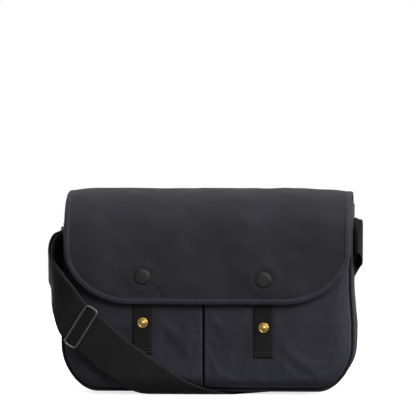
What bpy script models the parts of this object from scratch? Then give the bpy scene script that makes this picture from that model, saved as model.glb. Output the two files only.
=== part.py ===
"""A messenger bag: a soft body with two front pockets, a full-width snap flap and a webbing strap.

The bag's front faces -Y and its width runs along X. The origin is on the ground under the middle of the bag.
Lengths are in metres.
"""

import bpy
import numpy as np
from math import cos, pi, radians, sin, sqrt
from mathutils import Matrix, Vector

# Body
HALF_WIDTH = 0.1785
BASE_Z = 0.005
CORNER_X = 0.042
CORNER_Z = 0.060
SIDE_SAG = 0.003
FRONT_Y = -0.0365
BACK_Y = 0.0595
BACK_BULGE = 0.0025
BACK_TOP_Z = 0.2425
MOUTH_FRONT_Z = 0.2160
MOUTH_BACK_Z = 0.2385
FABRIC = 0.0015
LINING = 0.0010
PIPING_RADIUS = 0.0018
PIPING_INSET = 0.0008
SEAM_INSET = 0.0034

# Pockets and their closing tabs
POCKET_SEAM_Y = -0.0400
POCKET_DEPTH = 0.0140
POCKET_TOP_DEPTH = 0.0065
POCKET_TOP_Z = 0.1650
POCKET_SPLIT = 0.0018
POCKET_SPLIT_X = -0.0050
POCKET_ROUND = 0.030
POCKET_SPLIT_ROUND = 0.012
POCKET_FOOT = 0.020
TAB_WIDTH = 0.025
TAB_THICKNESS = 0.0015
TAB_X = {"left": -0.0800, "right": 0.0700}
TAB_BOTTOM_Z = {"left": 0.0518, "right": 0.0476}
UPPER_STUD_Z = {"left": 0.1480, "right": 0.1445}
LOWER_STUD_Z = {"left": 0.0905, "right": 0.0848}

# Flap: its outer side in section, from the seam on the back over the top and down the front
FLAP_SECTION = [
    (0.0655, 0.2080), (0.0655, 0.2380), (0.0610, 0.2475), (0.0475, 0.2520), (0.0225, 0.2525),
    (-0.0075, 0.2490), (-0.0305, 0.2400), (-0.0475, 0.2230), (-0.0555, 0.1980), (-0.0595, 0.1680),
    (-0.0615, 0.1400), (-0.0620, 0.1130),
]
FLAP_CORNER_X = 0.085
FLAP_CORNER_Z = 0.070
FLAP_SKIN = 0.0012
FLAP_GAP = 0.0004
BINDING_RADIUS = 0.0020
BINDING_INSET = 0.0026
HINGE_Y = 0.0665
HINGE_Z = 0.2475
FLAP_MOVES_FROM = 0.165
FLAP_ROOT_TO = 0.125

# Strap: 50 mm webbing
WEB_WIDTH = 0.050
WEB_THICKNESS = 0.0018
WEB_FRONT_Y = -0.0580
WEB_BACK_Y = 0.0695
WEB_FLOOR_Z = 0.0011
WEB_FRONT_BEND = 0.0210
WEB_BACK_BEND = 0.0125
WEB_TOP_Z = 0.1500
SLIDER_LIFT = 0.0090
LIFT_KEPT = 0.050
LIFT_FADES = 0.070
RETURN_GAP = 0.0026
RING_BAR = (-0.1845, -0.0035)
RING_Z = 0.1760
RING_TURN = 0.0031

# Slider on the strap
SLIDER_LONG = 0.0570
SLIDER_SHORT = 0.0190
SLIDER_WIRE = 0.0014
SLIDER_TILT = radians(-9)
SLIDER_BAR_BEHIND = 0.0044
SLIDER_FRAME_AHEAD = 0.0028
SLIDER_BAR_RADIUS = 0.0013
END_THICKNESS = 0.0014

MATERIALS = {
    "navy_fabric": ((0.030, 0.031, 0.041), 0.62, 0.0),
    "navy_binding": ((0.034, 0.035, 0.044), 0.55, 0.0),
    "lining_fabric": ((0.045, 0.047, 0.055), 0.80, 0.0),
    "black_webbing": ((0.012, 0.012, 0.012), 0.85, 0.0),
    "dark_metal": ((0.035, 0.036, 0.036), 0.40, 1.0),
    "brass": ((0.60, 0.45, 0.20), 0.30, 1.0),
    "base_board": ((0.05, 0.05, 0.05), 0.70, 0.0),
}


def clear_scene():
    for found in list(bpy.data.objects):
        bpy.data.objects.remove(found)


def make_materials():
    made = {}
    for name, (colour, roughness, metallic) in MATERIALS.items():
        material = bpy.data.materials.new(name)
        material.use_nodes = True
        shader = material.node_tree.nodes["Principled BSDF"]
        shader.inputs["Base Color"].default_value = (*colour, 1.0)
        shader.inputs["Roughness"].default_value = roughness
        shader.inputs["Metallic"].default_value = metallic
        made[name] = material
    return made


clear_scene()
PARTS = bpy.data.collections.new("messenger_bag")
bpy.context.scene.collection.children.link(PARTS)
LOOKS = make_materials()


def add(name, data, look):
    """One named sub-part with its own copy of a material."""
    made = bpy.data.objects.new(name, data)
    PARTS.objects.link(made)
    material = LOOKS[look].copy()
    material.name = f"{name}_{look}"
    data.materials.append(material)
    return made


def pivot(name, place, *pieces):
    """An empty on a joint's axis, with the pieces that move about it as its children."""
    made = bpy.data.objects.new(name, None)
    made.location = place
    PARTS.objects.link(made)
    for piece in pieces:
        piece.parent = made
        piece.matrix_parent_inverse = Matrix.Translation(-Vector(place))


def sheet(name, rows, thickness, look, offset=-1.0):
    """A sheet through a grid of points, thickened. Its outer side has the rows' normals."""
    points = [tuple(p) for row in rows for p in row]
    wide = len(rows[0])
    faces = []
    for i in range(len(rows) - 1):
        for j in range(wide - 1):
            a = i * wide + j
            faces.append((a, a + 1, a + wide + 1, a + wide))
    mesh = bpy.data.meshes.new(name)
    mesh.from_pydata(points, [], faces)
    mesh.shade_smooth()
    made = add(name, mesh, look)
    solid = made.modifiers.new("thickness", "SOLIDIFY")
    solid.thickness = thickness
    solid.offset = offset
    return made


def tube(name, points, radius, look, cyclic=False, sides=2):
    """A rod or cord that follows a list of points."""
    curve = bpy.data.curves.new(name, "CURVE")
    curve.dimensions = "3D"
    curve.bevel_depth = radius
    curve.bevel_resolution = sides
    curve.use_fill_caps = not cyclic
    line = curve.splines.new("POLY")
    line.points.add(len(points) - 1)
    for spot, p in zip(line.points, points):
        spot.co = (*p, 1.0)
    line.use_cyclic_u = cyclic
    return add(name, curve, look)


def turned(name, profile, place, axis, look, steps=20):
    """A turned piece: a profile of (radius, height) pairs from top to bottom, its height along axis."""
    points = [(r, 0.0, h) for r, h in profile]
    mesh = bpy.data.meshes.new(name)
    mesh.from_pydata(points, [(i, i + 1) for i in range(len(points) - 1)], [])
    made = add(name, mesh, look)
    screw = made.modifiers.new("turn", "SCREW")
    screw.steps = steps
    screw.render_steps = steps
    screw.use_merge_vertices = True
    screw.merge_threshold = 0.00001
    screw.use_smooth_shade = True
    made.rotation_euler = Vector(axis).to_track_quat("Z", "Y").to_euler()
    made.location = place
    return made


def smooth_line(controls, per_span):
    """Points on a smooth curve through the control points, which may be whole rows of points."""
    controls = np.asarray(controls, float)
    first = 2 * controls[0] - controls[1]
    last = 2 * controls[-1] - controls[-2]
    padded = np.concatenate([[first], controls, [last]])
    out = []
    for i in range(1, len(padded) - 2):
        p0, p1, p2, p3 = padded[i - 1:i + 3]
        for k in range(per_span):
            t = k / per_span
            out.append(
                p1 + 0.5 * t * (p2 - p0 + t * (2 * p0 - 5 * p1 + 4 * p2 - p3 + t * (3 * (p1 - p2) + p3 - p0)))
            )
    out.append(padded[-2])
    return np.array(out)


def smoothstep(t):
    t = min(max(t, 0.0), 1.0)
    return t * t * (3 - 2 * t)


def side_sag(z):
    """How far the full lower body stands out at its sides."""
    return SIDE_SAG * smoothstep((z - BASE_Z) / 0.050) * (1 - smoothstep((z - 0.085) / 0.050))


def half_width(z, inset=0.0):
    """Half the body's width at a height, in from its outline by inset."""
    drop = min(max((BASE_Z + CORNER_Z - z) / (CORNER_Z - inset), 0.0), 1.0)
    return HALF_WIDTH - CORNER_X + (CORNER_X - inset) * sqrt(1 - drop * drop) + side_sag(z)


def outline(inset, top_z, corner_steps=10, side_steps=6, base_steps=10):
    """The body's outline (x, z) from the top left, round the base, to the top right."""
    turn_x = HALF_WIDTH - CORNER_X
    turn_z = BASE_Z + CORNER_Z
    side = [(HALF_WIDTH - inset, top_z + (turn_z - top_z) * i / side_steps) for i in range(side_steps)]
    for i in range(corner_steps + 1):
        angle = pi / 2 * i / corner_steps
        side.append((turn_x + (CORNER_X - inset) * cos(angle), turn_z - (CORNER_Z - inset) * sin(angle)))
    side = [(x + side_sag(z), z) for x, z in side]
    base = [(turn_x * (1 - 2 * i / base_steps), BASE_Z + inset) for i in range(1, base_steps)]
    return [(-x, z) for x, z in side] + [(-x, z) for x, z in base] + [(x, z) for x, z in reversed(side)]


def mouth_z(y):
    share = (y - FRONT_Y) / (BACK_Y - FRONT_Y)
    return MOUTH_FRONT_Z + (MOUTH_BACK_Z - MOUTH_FRONT_Z) * sin(pi / 2 * min(max(share, 0.0), 1.0))


def level(i, steps, low, high):
    """Heights spaced closer together near the base, where the outline turns."""
    share = i / steps
    return low + (high - low) * share ** 1.6


def back_y(x, z):
    middle = max(0.0, 1 - (x / HALF_WIDTH) ** 2)
    return BACK_Y + BACK_BULGE * middle * sin(pi * min(max((z - BASE_Z) / 0.235, 0.0), 1.0))


def make_panels():
    low = BASE_Z + SEAM_INSET
    across = 12
    front = []
    for i in range(15):
        z = level(i, 14, low, MOUTH_FRONT_Z - 0.001)
        wide = half_width(z, SEAM_INSET)
        front.append([(wide * (2 * j / across - 1), FRONT_Y, z) for j in range(across + 1)])
    sheet("front_panel", front, FABRIC, "navy_fabric")
    back = []
    for i in range(15):
        z = level(i, 14, low, BACK_TOP_Z)
        wide = half_width(z, SEAM_INSET)
        spots = [wide * (1 - 2 * j / across) for j in range(across + 1)]
        back.append([(x, back_y(x, z), z) for x in spots])
    sheet("back_panel", back, FABRIC, "navy_fabric")


def make_gusset():
    """One strip up both sides and across the base, between the front and back seams."""
    front = FRONT_Y + 0.0006
    back = BACK_Y - 0.0040
    rows = []
    turn_z = BASE_Z + CORNER_Z
    for x, z in outline(0.0, 1.0):
        row = []
        for j in range(7):
            y = front + (back - front) * j / 6
            top = mouth_z(y) - 0.001
            here = z if z <= turn_z else turn_z + (z - turn_z) / (1.0 - turn_z) * (top - turn_z)
            wide = abs(x) if z <= turn_z else HALF_WIDTH + side_sag(here)
            row.append((wide if x > 0 else -wide, y, here))
        rows.append(row)
    sheet("gusset", rows, FABRIC, "navy_fabric")


def make_piping():
    spots = outline(PIPING_INSET, MOUTH_FRONT_Z - 0.002)
    front = [(x, FRONT_Y - 0.0022, z) for x, z in spots]
    tube("front_piping", front, PIPING_RADIUS, "navy_binding", sides=1)
    spots = outline(PIPING_INSET, 0.2330)
    back = [(x, BACK_Y - 0.0012, z) for x, z in spots]
    tube("back_piping", back, PIPING_RADIUS, "navy_binding", sides=1)


LINING_IN = 0.0034
LINING_FRONT_Y = FRONT_Y + 0.0024
LINING_BACK_Y = BACK_Y - 0.0026
LINING_BASE_Z = BASE_Z + 0.0056
LINING_ROUND = 0.010


def lining_ring(count):
    """The lining seen from above, from -1 to 1 across and in metres front to back, with round corners."""
    middle = (LINING_FRONT_Y + LINING_BACK_Y) / 2
    deep = (LINING_BACK_Y - LINING_FRONT_Y) / 2
    ring = []
    for i in range(count):
        angle = 2 * pi * i / count
        across, along = cos(angle), sin(angle)
        reach = (abs(across) ** 9 + abs(along) ** 9) ** (-1 / 9)
        ring.append((across * reach, middle + deep * along * reach))
    return ring


def make_lining():
    """The lining: an open tub that hangs inside the panels and the gusset."""
    ring = lining_ring(44)
    count = len(ring)
    points = []
    shrink = (0.25, 0.6, 0.9, 1.0)
    levels = [0.0] * 3 + [0.004, 0.03, 0.08, 0.15, 0.24, 0.36, 0.5, 0.65, 0.8, 1.0]
    scales = shrink[:3] + (0.97,) + (1.0,) * (len(levels) - 4)
    middle = (LINING_FRONT_Y + LINING_BACK_Y) / 2
    for share, scale in zip(levels, scales):
        for across, y in ring:
            z = LINING_BASE_Z + share * (mouth_z(y) - 0.002 - LINING_BASE_Z)
            wide = half_width(z + 0.0005, LINING_IN)
            points.append((across * wide * scale, middle + (y - middle) * scale, z))
    faces = [tuple(range(count - 1, -1, -1))]
    for i in range(len(levels) - 1):
        for j in range(count):
            a, b = i * count + j, i * count + (j + 1) % count
            faces.append((a, b, b + count, a + count))
    mesh = bpy.data.meshes.new("lining")
    mesh.from_pydata(points, [], faces)
    mesh.shade_smooth()
    made = add("lining", mesh, "lining_fabric")
    solid = made.modifiers.new("thickness", "SOLIDIFY")
    solid.thickness = LINING
    solid.offset = -1.0


def make_mouth_binding():
    ring = []
    front, back = FRONT_Y + 0.0010, BACK_Y - 0.0046
    for across, lining_y in lining_ring(40):
        y = float(np.interp(lining_y, (LINING_FRONT_Y, LINING_BACK_Y), (front, back)))
        ring.append((across * (HALF_WIDTH - LINING_IN + 0.001), y, mouth_z(y) + 0.0022))
    tube("mouth_binding", ring, 0.0018, "navy_binding", cyclic=True, sides=1)


def make_base_board():
    bpy.ops.mesh.primitive_cube_add(size=1.0)
    made = bpy.context.object
    mesh = made.data
    mesh.transform(Matrix.Diagonal((0.244, 0.082, 0.002, 1.0)))
    bpy.data.objects.remove(made)
    board = add("base_board", mesh, "base_board")
    board.location = (0.0, (FRONT_Y + BACK_Y) / 2, BASE_Z + FABRIC + 0.0018)
    bevel = board.modifiers.new("corners", "BEVEL")
    bevel.width = 0.0008
    bevel.segments = 2


def pocket_y(x, z):
    """The pockets' outer side: full in the middle, drawn in to their seams at the sides, split and base."""
    outer = (half_width(z, SEAM_INSET) - abs(x)) / POCKET_ROUND
    inner = (abs(x - POCKET_SPLIT_X) - POCKET_SPLIT) / POCKET_SPLIT_ROUND
    side = 1 - min(max(min(outer, inner), 0.0), 1.0)
    foot = 1 - min(max(z - BASE_Z - SEAM_INSET, 0.0) / POCKET_FOOT, 1.0)
    rise = min(max((z - 0.09) / (POCKET_TOP_Z - 0.09), 0.0), 1.0)
    depth = POCKET_DEPTH + (POCKET_TOP_DEPTH - POCKET_DEPTH) * rise
    return POCKET_SEAM_Y - depth * sqrt(max(0.0, 1 - side ** 2.4)) * sqrt(max(0.0, 1 - foot ** 2.2))


def make_pocket(side_name, sign):
    low = BASE_Z + SEAM_INSET
    rows = []
    across = 16
    for i in range(17):
        z = low + (POCKET_TOP_Z - low) * (i / 16) ** 1.5
        wide = half_width(z, SEAM_INSET)
        row = []
        for j in range(across + 1):
            share = 0.5 - 0.5 * cos(pi * j / across)
            start = POCKET_SPLIT_X + sign * POCKET_SPLIT
            x = start + (sign * wide - start) * share
            row.append((x, pocket_y(x, z), z))
        rows.append(row if sign > 0 else row[::-1])
    sheet(f"pocket_{side_name}", rows, FABRIC, "navy_fabric")
    hem = []
    for j in range(1, 20):
        share = 0.5 - 0.5 * cos(pi * j / 20)
        start = POCKET_SPLIT_X + sign * POCKET_SPLIT
        x = start + (sign * (HALF_WIDTH - SEAM_INSET) - start) * share
        hem.append((x, pocket_y(x, POCKET_TOP_Z) + 0.0006, POCKET_TOP_Z + 0.0022))
    tube(f"pocket_hem_{side_name}", hem, 0.0017, "navy_binding", sides=1)


def make_tab(side_name):
    """A strip of 25 mm webbing down the middle of a pocket."""
    rows = []
    low = TAB_BOTTOM_Z[side_name]
    x = TAB_X[side_name]
    for i in range(13):
        z = low + (POCKET_TOP_Z - 0.001 - low) * i / 12
        y = pocket_y(x, z) - 0.0005
        rows.append([(x + TAB_WIDTH * (j / 2 - 0.5), y, z) for j in range(3)])
    sheet(f"tab_{side_name}", rows, TAB_THICKNESS, "black_webbing", offset=1.0)


STUD = [
    (0.0, 0.0046), (0.0014, 0.0045), (0.0026, 0.0038), (0.0030, 0.0028), (0.0026, 0.0019), (0.0025, 0.0013),
    (0.0040, 0.0010), (0.0058, 0.0011), (0.0065, 0.0006), (0.0064, 0.0), (0.0, 0.0),
]
STUD_BACK = [(0.0, 0.0010), (0.0050, 0.0009), (0.0056, 0.0004), (0.0054, 0.0), (0.0, 0.0)]
CAP = [
    (0.0, 0.0024), (0.0030, 0.0023), (0.0060, 0.0020), (0.0068, 0.0016), (0.0076, 0.0019), (0.0088, 0.0018),
    (0.0098, 0.0008), (0.0097, 0.0), (0.0, 0.0),
]
SOCKET = [
    (0.0, 0.0008), (0.0031, 0.0008), (0.0034, 0.0019), (0.0052, 0.0020), (0.0066, 0.0006), (0.0065, 0.0),
    (0.0, 0.0),
]
FORWARD = (0.0, -1.0, 0.0)
BACKWARD = (0.0, 1.0, 0.0)


def make_studs(side_name):
    x = TAB_X[side_name]
    for level_name, heights in (("upper", UPPER_STUD_Z), ("lower", LOWER_STUD_Z)):
        z = heights[side_name]
        on_tab = pocket_y(x, z) - 0.0005 - TAB_THICKNESS
        turned(f"stud_{level_name}_{side_name}", STUD, (x, on_tab - 0.0007, z), FORWARD, "brass")
        behind = (x, pocket_y(x, z) + FABRIC + 0.0006, z)
        turned(f"stud_back_{level_name}_{side_name}", STUD_BACK, behind, BACKWARD, "brass", steps=16)


FLAP_LINE = smooth_line([(0.0, y, z) for y, z in FLAP_SECTION], 8)


def flap_span(start, stop, drop, inset, steps):
    """Rows of a flap layer between two shares of its section, set in by drop from the outer side."""
    lengths = np.concatenate([[0.0], np.cumsum(np.linalg.norm(np.diff(FLAP_LINE, axis=0), axis=1))])
    total = lengths[-1] - inset
    rows = []
    for i in range(steps + 1):
        share = start + (stop - start) * i / steps
        share = share if stop < 1.0 else start + (stop - start) * (1 - (1 - i / steps) ** 1.35)
        along = total * share
        y = float(np.interp(along, lengths, FLAP_LINE[:, 1]))
        z = float(np.interp(along, lengths, FLAP_LINE[:, 2]))
        before = [float(np.interp(along - 0.002, lengths, FLAP_LINE[:, k])) for k in (1, 2)]
        after = [float(np.interp(along + 0.002, lengths, FLAP_LINE[:, k])) for k in (1, 2)]
        way = Vector((0.0, after[0] - before[0], after[1] - before[1])).normalized()
        outward = way.cross(Vector((1.0, 0.0, 0.0)))
        rows.append((along, Vector((0.0, y, z)) - outward * drop))
    return rows, lengths[-1]


def flap_half(along, total, inset):
    """Half the flap's width at a length along its section."""
    left = total - along
    if left >= FLAP_CORNER_Z:
        return HALF_WIDTH - inset
    drop = min((FLAP_CORNER_Z - left) / (FLAP_CORNER_Z - inset), 1.0)
    return HALF_WIDTH - FLAP_CORNER_X + (FLAP_CORNER_X - inset) * sqrt(1 - drop * drop)


def flap_layer(name, start, stop, drop, thickness, inset, steps, look):
    spots, total = flap_span(start, stop, drop, inset, steps)
    across = 14
    rows = []
    for along, centre in spots:
        wide = flap_half(along, total, inset)
        rows.append([(wide * (1 - 2 * j / across), centre.y, centre.z) for j in range(across + 1)])
    return sheet(name, rows, thickness, look)


def make_flap():
    edge = BINDING_INSET + BINDING_RADIUS + 0.0004
    outer = flap_layer("flap_outer", FLAP_MOVES_FROM, 1.0, 0.0, FLAP_SKIN, edge, 26, "navy_fabric")
    under = FLAP_SKIN + FLAP_GAP
    lining = flap_layer("flap_lining", FLAP_MOVES_FROM, 1.0, under, LINING, edge, 26, "lining_fabric")
    flap_layer("flap_root", 0.0, FLAP_ROOT_TO, 0.0, FLAP_SKIN, edge, 5, "navy_fabric")
    spots, total = flap_span(FLAP_MOVES_FROM, 1.0, FLAP_SKIN, BINDING_INSET, 34)
    left = []
    for along, centre in spots:
        left.append((-flap_half(along, total, BINDING_INSET), centre.y, centre.z))
    end = left[-1]
    across = [(end[0] * (1 - 2 * i / 8), end[1], end[2]) for i in range(1, 8)]
    right = [(-x, y, z) for x, y, z in reversed(left)]
    binding = tube("flap_binding", left + across + right, BINDING_RADIUS, "navy_binding", sides=1)
    return [outer, lining, binding]


def flap_at(z):
    """The flap's outer side at a height on the front."""
    front = FLAP_LINE[FLAP_LINE[:, 1] < FRONT_Y]
    order = np.argsort(front[:, 2])
    return float(np.interp(z, front[order, 2], front[order, 1]))


def make_snaps(side_name):
    x = TAB_X[side_name]
    z = UPPER_STUD_Z[side_name]
    y = flap_at(z)
    cap = turned(f"snap_cap_{side_name}", CAP, (x, y - 0.0006, z), FORWARD, "dark_metal", steps=24)
    under = y + FLAP_SKIN + FLAP_GAP + LINING + 0.0006
    socket = turned(f"snap_socket_{side_name}", SOCKET, (x, under, z), BACKWARD, "brass")
    return [cap, socket]


# The strap's middle line against the bag: across, and down from WEB_TOP_Z round the bag's outside
WEB_ROUTE = [
    (-0.1557, 0.0640), (-0.1180, 0.0967), (-0.0775, 0.1268), (-0.0400, 0.1520), (0.0150, 0.1790),
    (0.0600, 0.2170), (0.0788, 0.2411), (0.0960, 0.2690), (0.1126, 0.3018), (0.1280, 0.3370),
    (0.1550, 0.4080),
]
# Where it hangs free at the left and the right: the middle, and the way across the webbing
LEFT_LOOP = [
    ((-0.1872, -0.0035, 0.1760), (0.00, 0.00, 1.00)),
    ((-0.1940, -0.0130, 0.1730), (-0.03, -0.20, 0.98)),
    ((-0.1968, -0.0265, 0.1640), (-0.05, -0.42, 0.91)),
    ((-0.1932, -0.0415, 0.1500), (0.04, -0.60, 0.80)),
    ((-0.1856, -0.0565, 0.1305), (0.28, -0.48, 0.83)),
    ((-0.1760, -0.0650, 0.1128), (0.47, -0.18, 0.86)),
    ((-0.1662, -0.0670, 0.0968), (0.62, 0.00, 0.78)),
]
RIGHT_LOOP = [
    ((0.1740, 0.0685, 0.1745), (0.60, -0.05, -0.80)),
    ((0.1888, 0.0570, 0.1790), (0.20, -0.04, -0.98)),
    ((0.1908, 0.0375, 0.1800), (0.08, 0.00, -0.99)),
    ((0.1922, 0.0100, 0.1830), (0.00, -0.06, -1.00)),
    ((0.1908, -0.0060, 0.1875), (0.00, -0.30, -0.95)),
    ((0.1863, -0.0092, 0.1915), (0.00, -0.42, -0.91)),
    ((0.1823, -0.0065, 0.1920), (0.00, -0.25, -0.97)),
    ((0.1808, 0.0015, 0.1900), (0.00, 0.00, -1.00)),
    ((0.1808, 0.0195, 0.1880), (0.00, 0.00, -1.00)),
    ((0.1808, 0.0375, 0.1870), (0.00, 0.00, -1.00)),
]
WEB_COLUMNS = 7


def wrapped(x, down, lift):
    """A point on the bag's outside: down the front, under the base and up the back, stood off by lift."""
    front_centre = WEB_FRONT_Y + WEB_FRONT_BEND
    back_centre = WEB_BACK_Y - WEB_BACK_BEND
    front = WEB_TOP_Z - WEB_FLOOR_Z - WEB_FRONT_BEND
    if down < front:
        return Vector((x, WEB_FRONT_Y - lift, WEB_TOP_Z - down))
    down -= front
    if down < WEB_FRONT_BEND * pi / 2:
        angle = down / WEB_FRONT_BEND
        reach = WEB_FRONT_BEND + lift * cos(angle)
        drop = WEB_FRONT_BEND * (1 - sin(angle))
        return Vector((x, front_centre - reach * cos(angle), WEB_FLOOR_Z + drop))
    down -= WEB_FRONT_BEND * pi / 2
    if down < back_centre - front_centre:
        return Vector((x, front_centre + down, WEB_FLOOR_Z))
    down -= back_centre - front_centre
    if down < WEB_BACK_BEND * pi / 2:
        angle = down / WEB_BACK_BEND
        rise = WEB_BACK_BEND * (1 - cos(angle))
        return Vector((x, back_centre + WEB_BACK_BEND * sin(angle), WEB_FLOOR_Z + rise))
    return Vector((x, WEB_BACK_Y, WEB_FLOOR_Z + WEB_BACK_BEND + down - WEB_BACK_BEND * pi / 2))


def web_row(middle, across):
    across = Vector(across).normalized()
    return [Vector(middle) + across * WEB_WIDTH * (0.5 - j / (WEB_COLUMNS - 1)) for j in range(WEB_COLUMNS)]


def strap_rows():
    """Rows of points across the strap's outer layer, from the ring to its sewn end."""
    route = smooth_line(WEB_ROUTE, 4)
    travelled = np.concatenate([[0.0], np.cumsum(np.linalg.norm(np.diff(route, axis=0), axis=1))])
    rows = [web_row(*section) for section in LEFT_LOOP]
    for i, (x, down) in enumerate(route):
        way = route[min(i + 1, len(route) - 1)] - route[max(i - 1, 0)]
        way = way / np.linalg.norm(way)
        row = []
        for j in range(WEB_COLUMNS):
            off = WEB_WIDTH * (0.5 - j / (WEB_COLUMNS - 1))
            along = travelled[i] + off * 0.25
            lift = SLIDER_LIFT * (1 - smoothstep((along - LIFT_KEPT) / LIFT_FADES))
            row.append(wrapped(x + off * way[1], down - off * way[0], lift))
        rows.append(row)
    rows += [web_row(*section) for section in RIGHT_LOOP]
    return rows


STRAP_ROWS = strap_rows()
SLIDER_ROW = len(LEFT_LOOP)
SLIDER_AT = Vector((WEB_ROUTE[0][0], WEB_FRONT_Y - SLIDER_LIFT, WEB_TOP_Z - WEB_ROUTE[0][1]))
SLIDER_ACROSS = Matrix.Rotation(SLIDER_TILT, 3, "Y") @ Vector((0.655, 0.0, 0.755)).normalized()
SLIDER_ACROSS.normalize()
SLIDER_ALONG = SLIDER_ACROSS.cross(Vector((0.0, -1.0, 0.0))).normalized()


def return_rows(outer):
    """The inner layer, from just above the slider back up to the ring."""
    rows = []
    count = len(outer)
    for i in range(count - 1, -1, -1):
        ahead = outer[min(i + 1, count - 1)]
        behind = outer[max(i - 1, 0)]
        gap = RETURN_GAP + (2 * RING_TURN - RETURN_GAP) * (1 - smoothstep(i / (count * 0.45)))
        row = []
        for j in range(WEB_COLUMNS):
            way = Vector(ahead[j]) - Vector(behind[j])
            across = Vector(outer[i][0]) - Vector(outer[i][-1])
            inward = way.cross(across).normalized()
            row.append(Vector(outer[i][j]) - inward * gap)
        rows.append(row)
    return rows


def make_strap():
    fine = smooth_line([[tuple(p) for p in row] for row in STRAP_ROWS[:SLIDER_ROW + 2]], 3)
    near_slider = SLIDER_ROW * 3 - 1
    loop = fine[:near_slider]
    inner = return_rows(loop)
    turn = []
    for k in range(1, 6):
        angle = pi * k / 6
        x = RING_BAR[0] + RING_TURN * cos(angle)
        y = RING_BAR[1] + RING_TURN * sin(angle)
        turn.append(web_row((x, y, RING_Z), (0, 0, 1)))
    rest = smooth_line([[tuple(p) for p in row] for row in STRAP_ROWS], 2)
    outer = list(loop) + list(rest[(near_slider * 2) // 3 + 1:])
    rows = [[Vector(p) for p in row] for row in inner + turn + outer]
    sheet("strap", rows, WEB_THICKNESS, "black_webbing", offset=0.0)


def make_ring():
    """A rectangular wire ring, upright beside the gusset."""
    corner = 0.004
    half_z = 0.0290
    front, back = RING_BAR[1], RING_BAR[1] + 0.0135
    points = []
    turns = (
        (back - corner, 1, 0), (front + corner, 1, 90), (front + corner, -1, 180), (back - corner, -1, 270),
    )
    for centre_y, way, start in turns:
        centre_z = RING_Z + way * (half_z - corner)
        for k in range(4):
            angle = radians(start + 30 * k)
            points.append((RING_BAR[0], centre_y + corner * cos(angle), centre_z + corner * sin(angle)))
    tube("strap_ring", points, 0.0014, "dark_metal", cyclic=True, sides=2)


def make_chape():
    """Webbing that is sewn to the left gusset and folds round the ring's rear bar."""
    bar_y = RING_BAR[1] + 0.0135
    turn = 0.0027
    flat_x = -HALF_WIDTH - 0.0014
    path = [(flat_x, bar_y + 0.0395), (flat_x, bar_y + 0.0255), (flat_x, bar_y + 0.0115)]
    path.append((RING_BAR[0] + turn, bar_y + 0.003))
    for k in range(7):
        angle = -pi * k / 6
        path.append((RING_BAR[0] + turn * cos(angle), bar_y + turn * sin(angle)))
    path += [(RING_BAR[0] - turn, bar_y + 0.003), (flat_x - 0.0034, bar_y + 0.0115)]
    path += [(flat_x - 0.0022, bar_y + 0.0255), (flat_x - 0.0022, bar_y + 0.0375)]
    rows = [[(x, y, RING_Z + WEB_WIDTH / 2 * (1 - j)) for j in range(3)] for x, y in path]
    sheet("strap_chape", rows, 0.0014, "black_webbing", offset=0.0)


def on_slider(across, along, ahead):
    """A point near the slider: along its long side, along the strap, and out from the strap's middle."""
    return SLIDER_AT + SLIDER_ACROSS * across + SLIDER_ALONG * along + Vector((0.0, -ahead, 0.0))


def make_slider():
    corner = 0.0030
    long_half = SLIDER_LONG / 2 - SLIDER_WIRE - corner
    short_half = SLIDER_SHORT / 2 - SLIDER_WIRE - corner
    points = []
    for sx, sy, start in ((1, 1, 0), (-1, 1, 90), (-1, -1, 180), (1, -1, 270)):
        for k in range(4):
            angle = radians(start + 30 * k)
            across = sx * long_half + corner * cos(angle)
            along = sy * short_half + corner * sin(angle)
            points.append(on_slider(across, along, SLIDER_FRAME_AHEAD))
    frame = tube("slider_frame", points, SLIDER_WIRE, "dark_metal", cyclic=True, sides=2)
    end = SLIDER_LONG / 2 - SLIDER_WIRE
    bar = [
        (-end, SLIDER_FRAME_AHEAD - 0.0033), (-end, -0.0018), (-end + 0.0008, -0.0038),
        (-end + 0.0026, -SLIDER_BAR_BEHIND),
    ]
    bar += [(-across, ahead) for across, ahead in reversed(bar)]
    spots = [on_slider(across, 0.0, ahead) for across, ahead in bar]
    return [frame, tube("slider_bar", spots, SLIDER_BAR_RADIUS, "dark_metal", sides=2)]


def make_strap_end():
    """The strap's own end, folded round the slider's bar behind the strap and lying back along it."""
    turn = SLIDER_BAR_RADIUS + 0.0003 + END_THICKNESS / 2
    behind = -SLIDER_BAR_BEHIND
    path = [(-0.0140, behind - turn), (-0.0060, behind - turn)]
    for k in range(9):
        angle = -pi / 2 + pi * k / 8
        path.append((turn * cos(angle), behind + turn * sin(angle)))
    path.append((-0.0022, behind + turn))
    half = WEB_WIDTH / 2 - 0.0008
    rows = []
    for along, ahead in path:
        rows.append([on_slider(half * (1 - j), along, ahead) for j in range(3)])
    return sheet("strap_end", rows, END_THICKNESS, "black_webbing", offset=0.0)


make_panels()
make_gusset()
make_piping()
make_lining()
make_mouth_binding()
make_base_board()
FLAP_PIECES = make_flap()
for side_name, sign in (("left", -1), ("right", 1)):
    make_pocket(side_name, sign)
    make_tab(side_name)
    make_studs(side_name)
    FLAP_PIECES += make_snaps(side_name)
pivot("flap_hinge", (0.0, HINGE_Y, HINGE_Z), *FLAP_PIECES)
make_strap()
make_ring()
make_chape()
pivot("slider_place", SLIDER_AT, *make_slider(), make_strap_end())
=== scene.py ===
"""The looks of the messenger bag: fabric, tape, webbing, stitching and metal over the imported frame.

The bag's front faces -Y and its width runs along X, as in the frame. Lengths are in metres.
"""

from math import cos, pi, radians, sin, sqrt

import bmesh
import bpy
import numpy as np
from mathutils import Matrix, Vector


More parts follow.
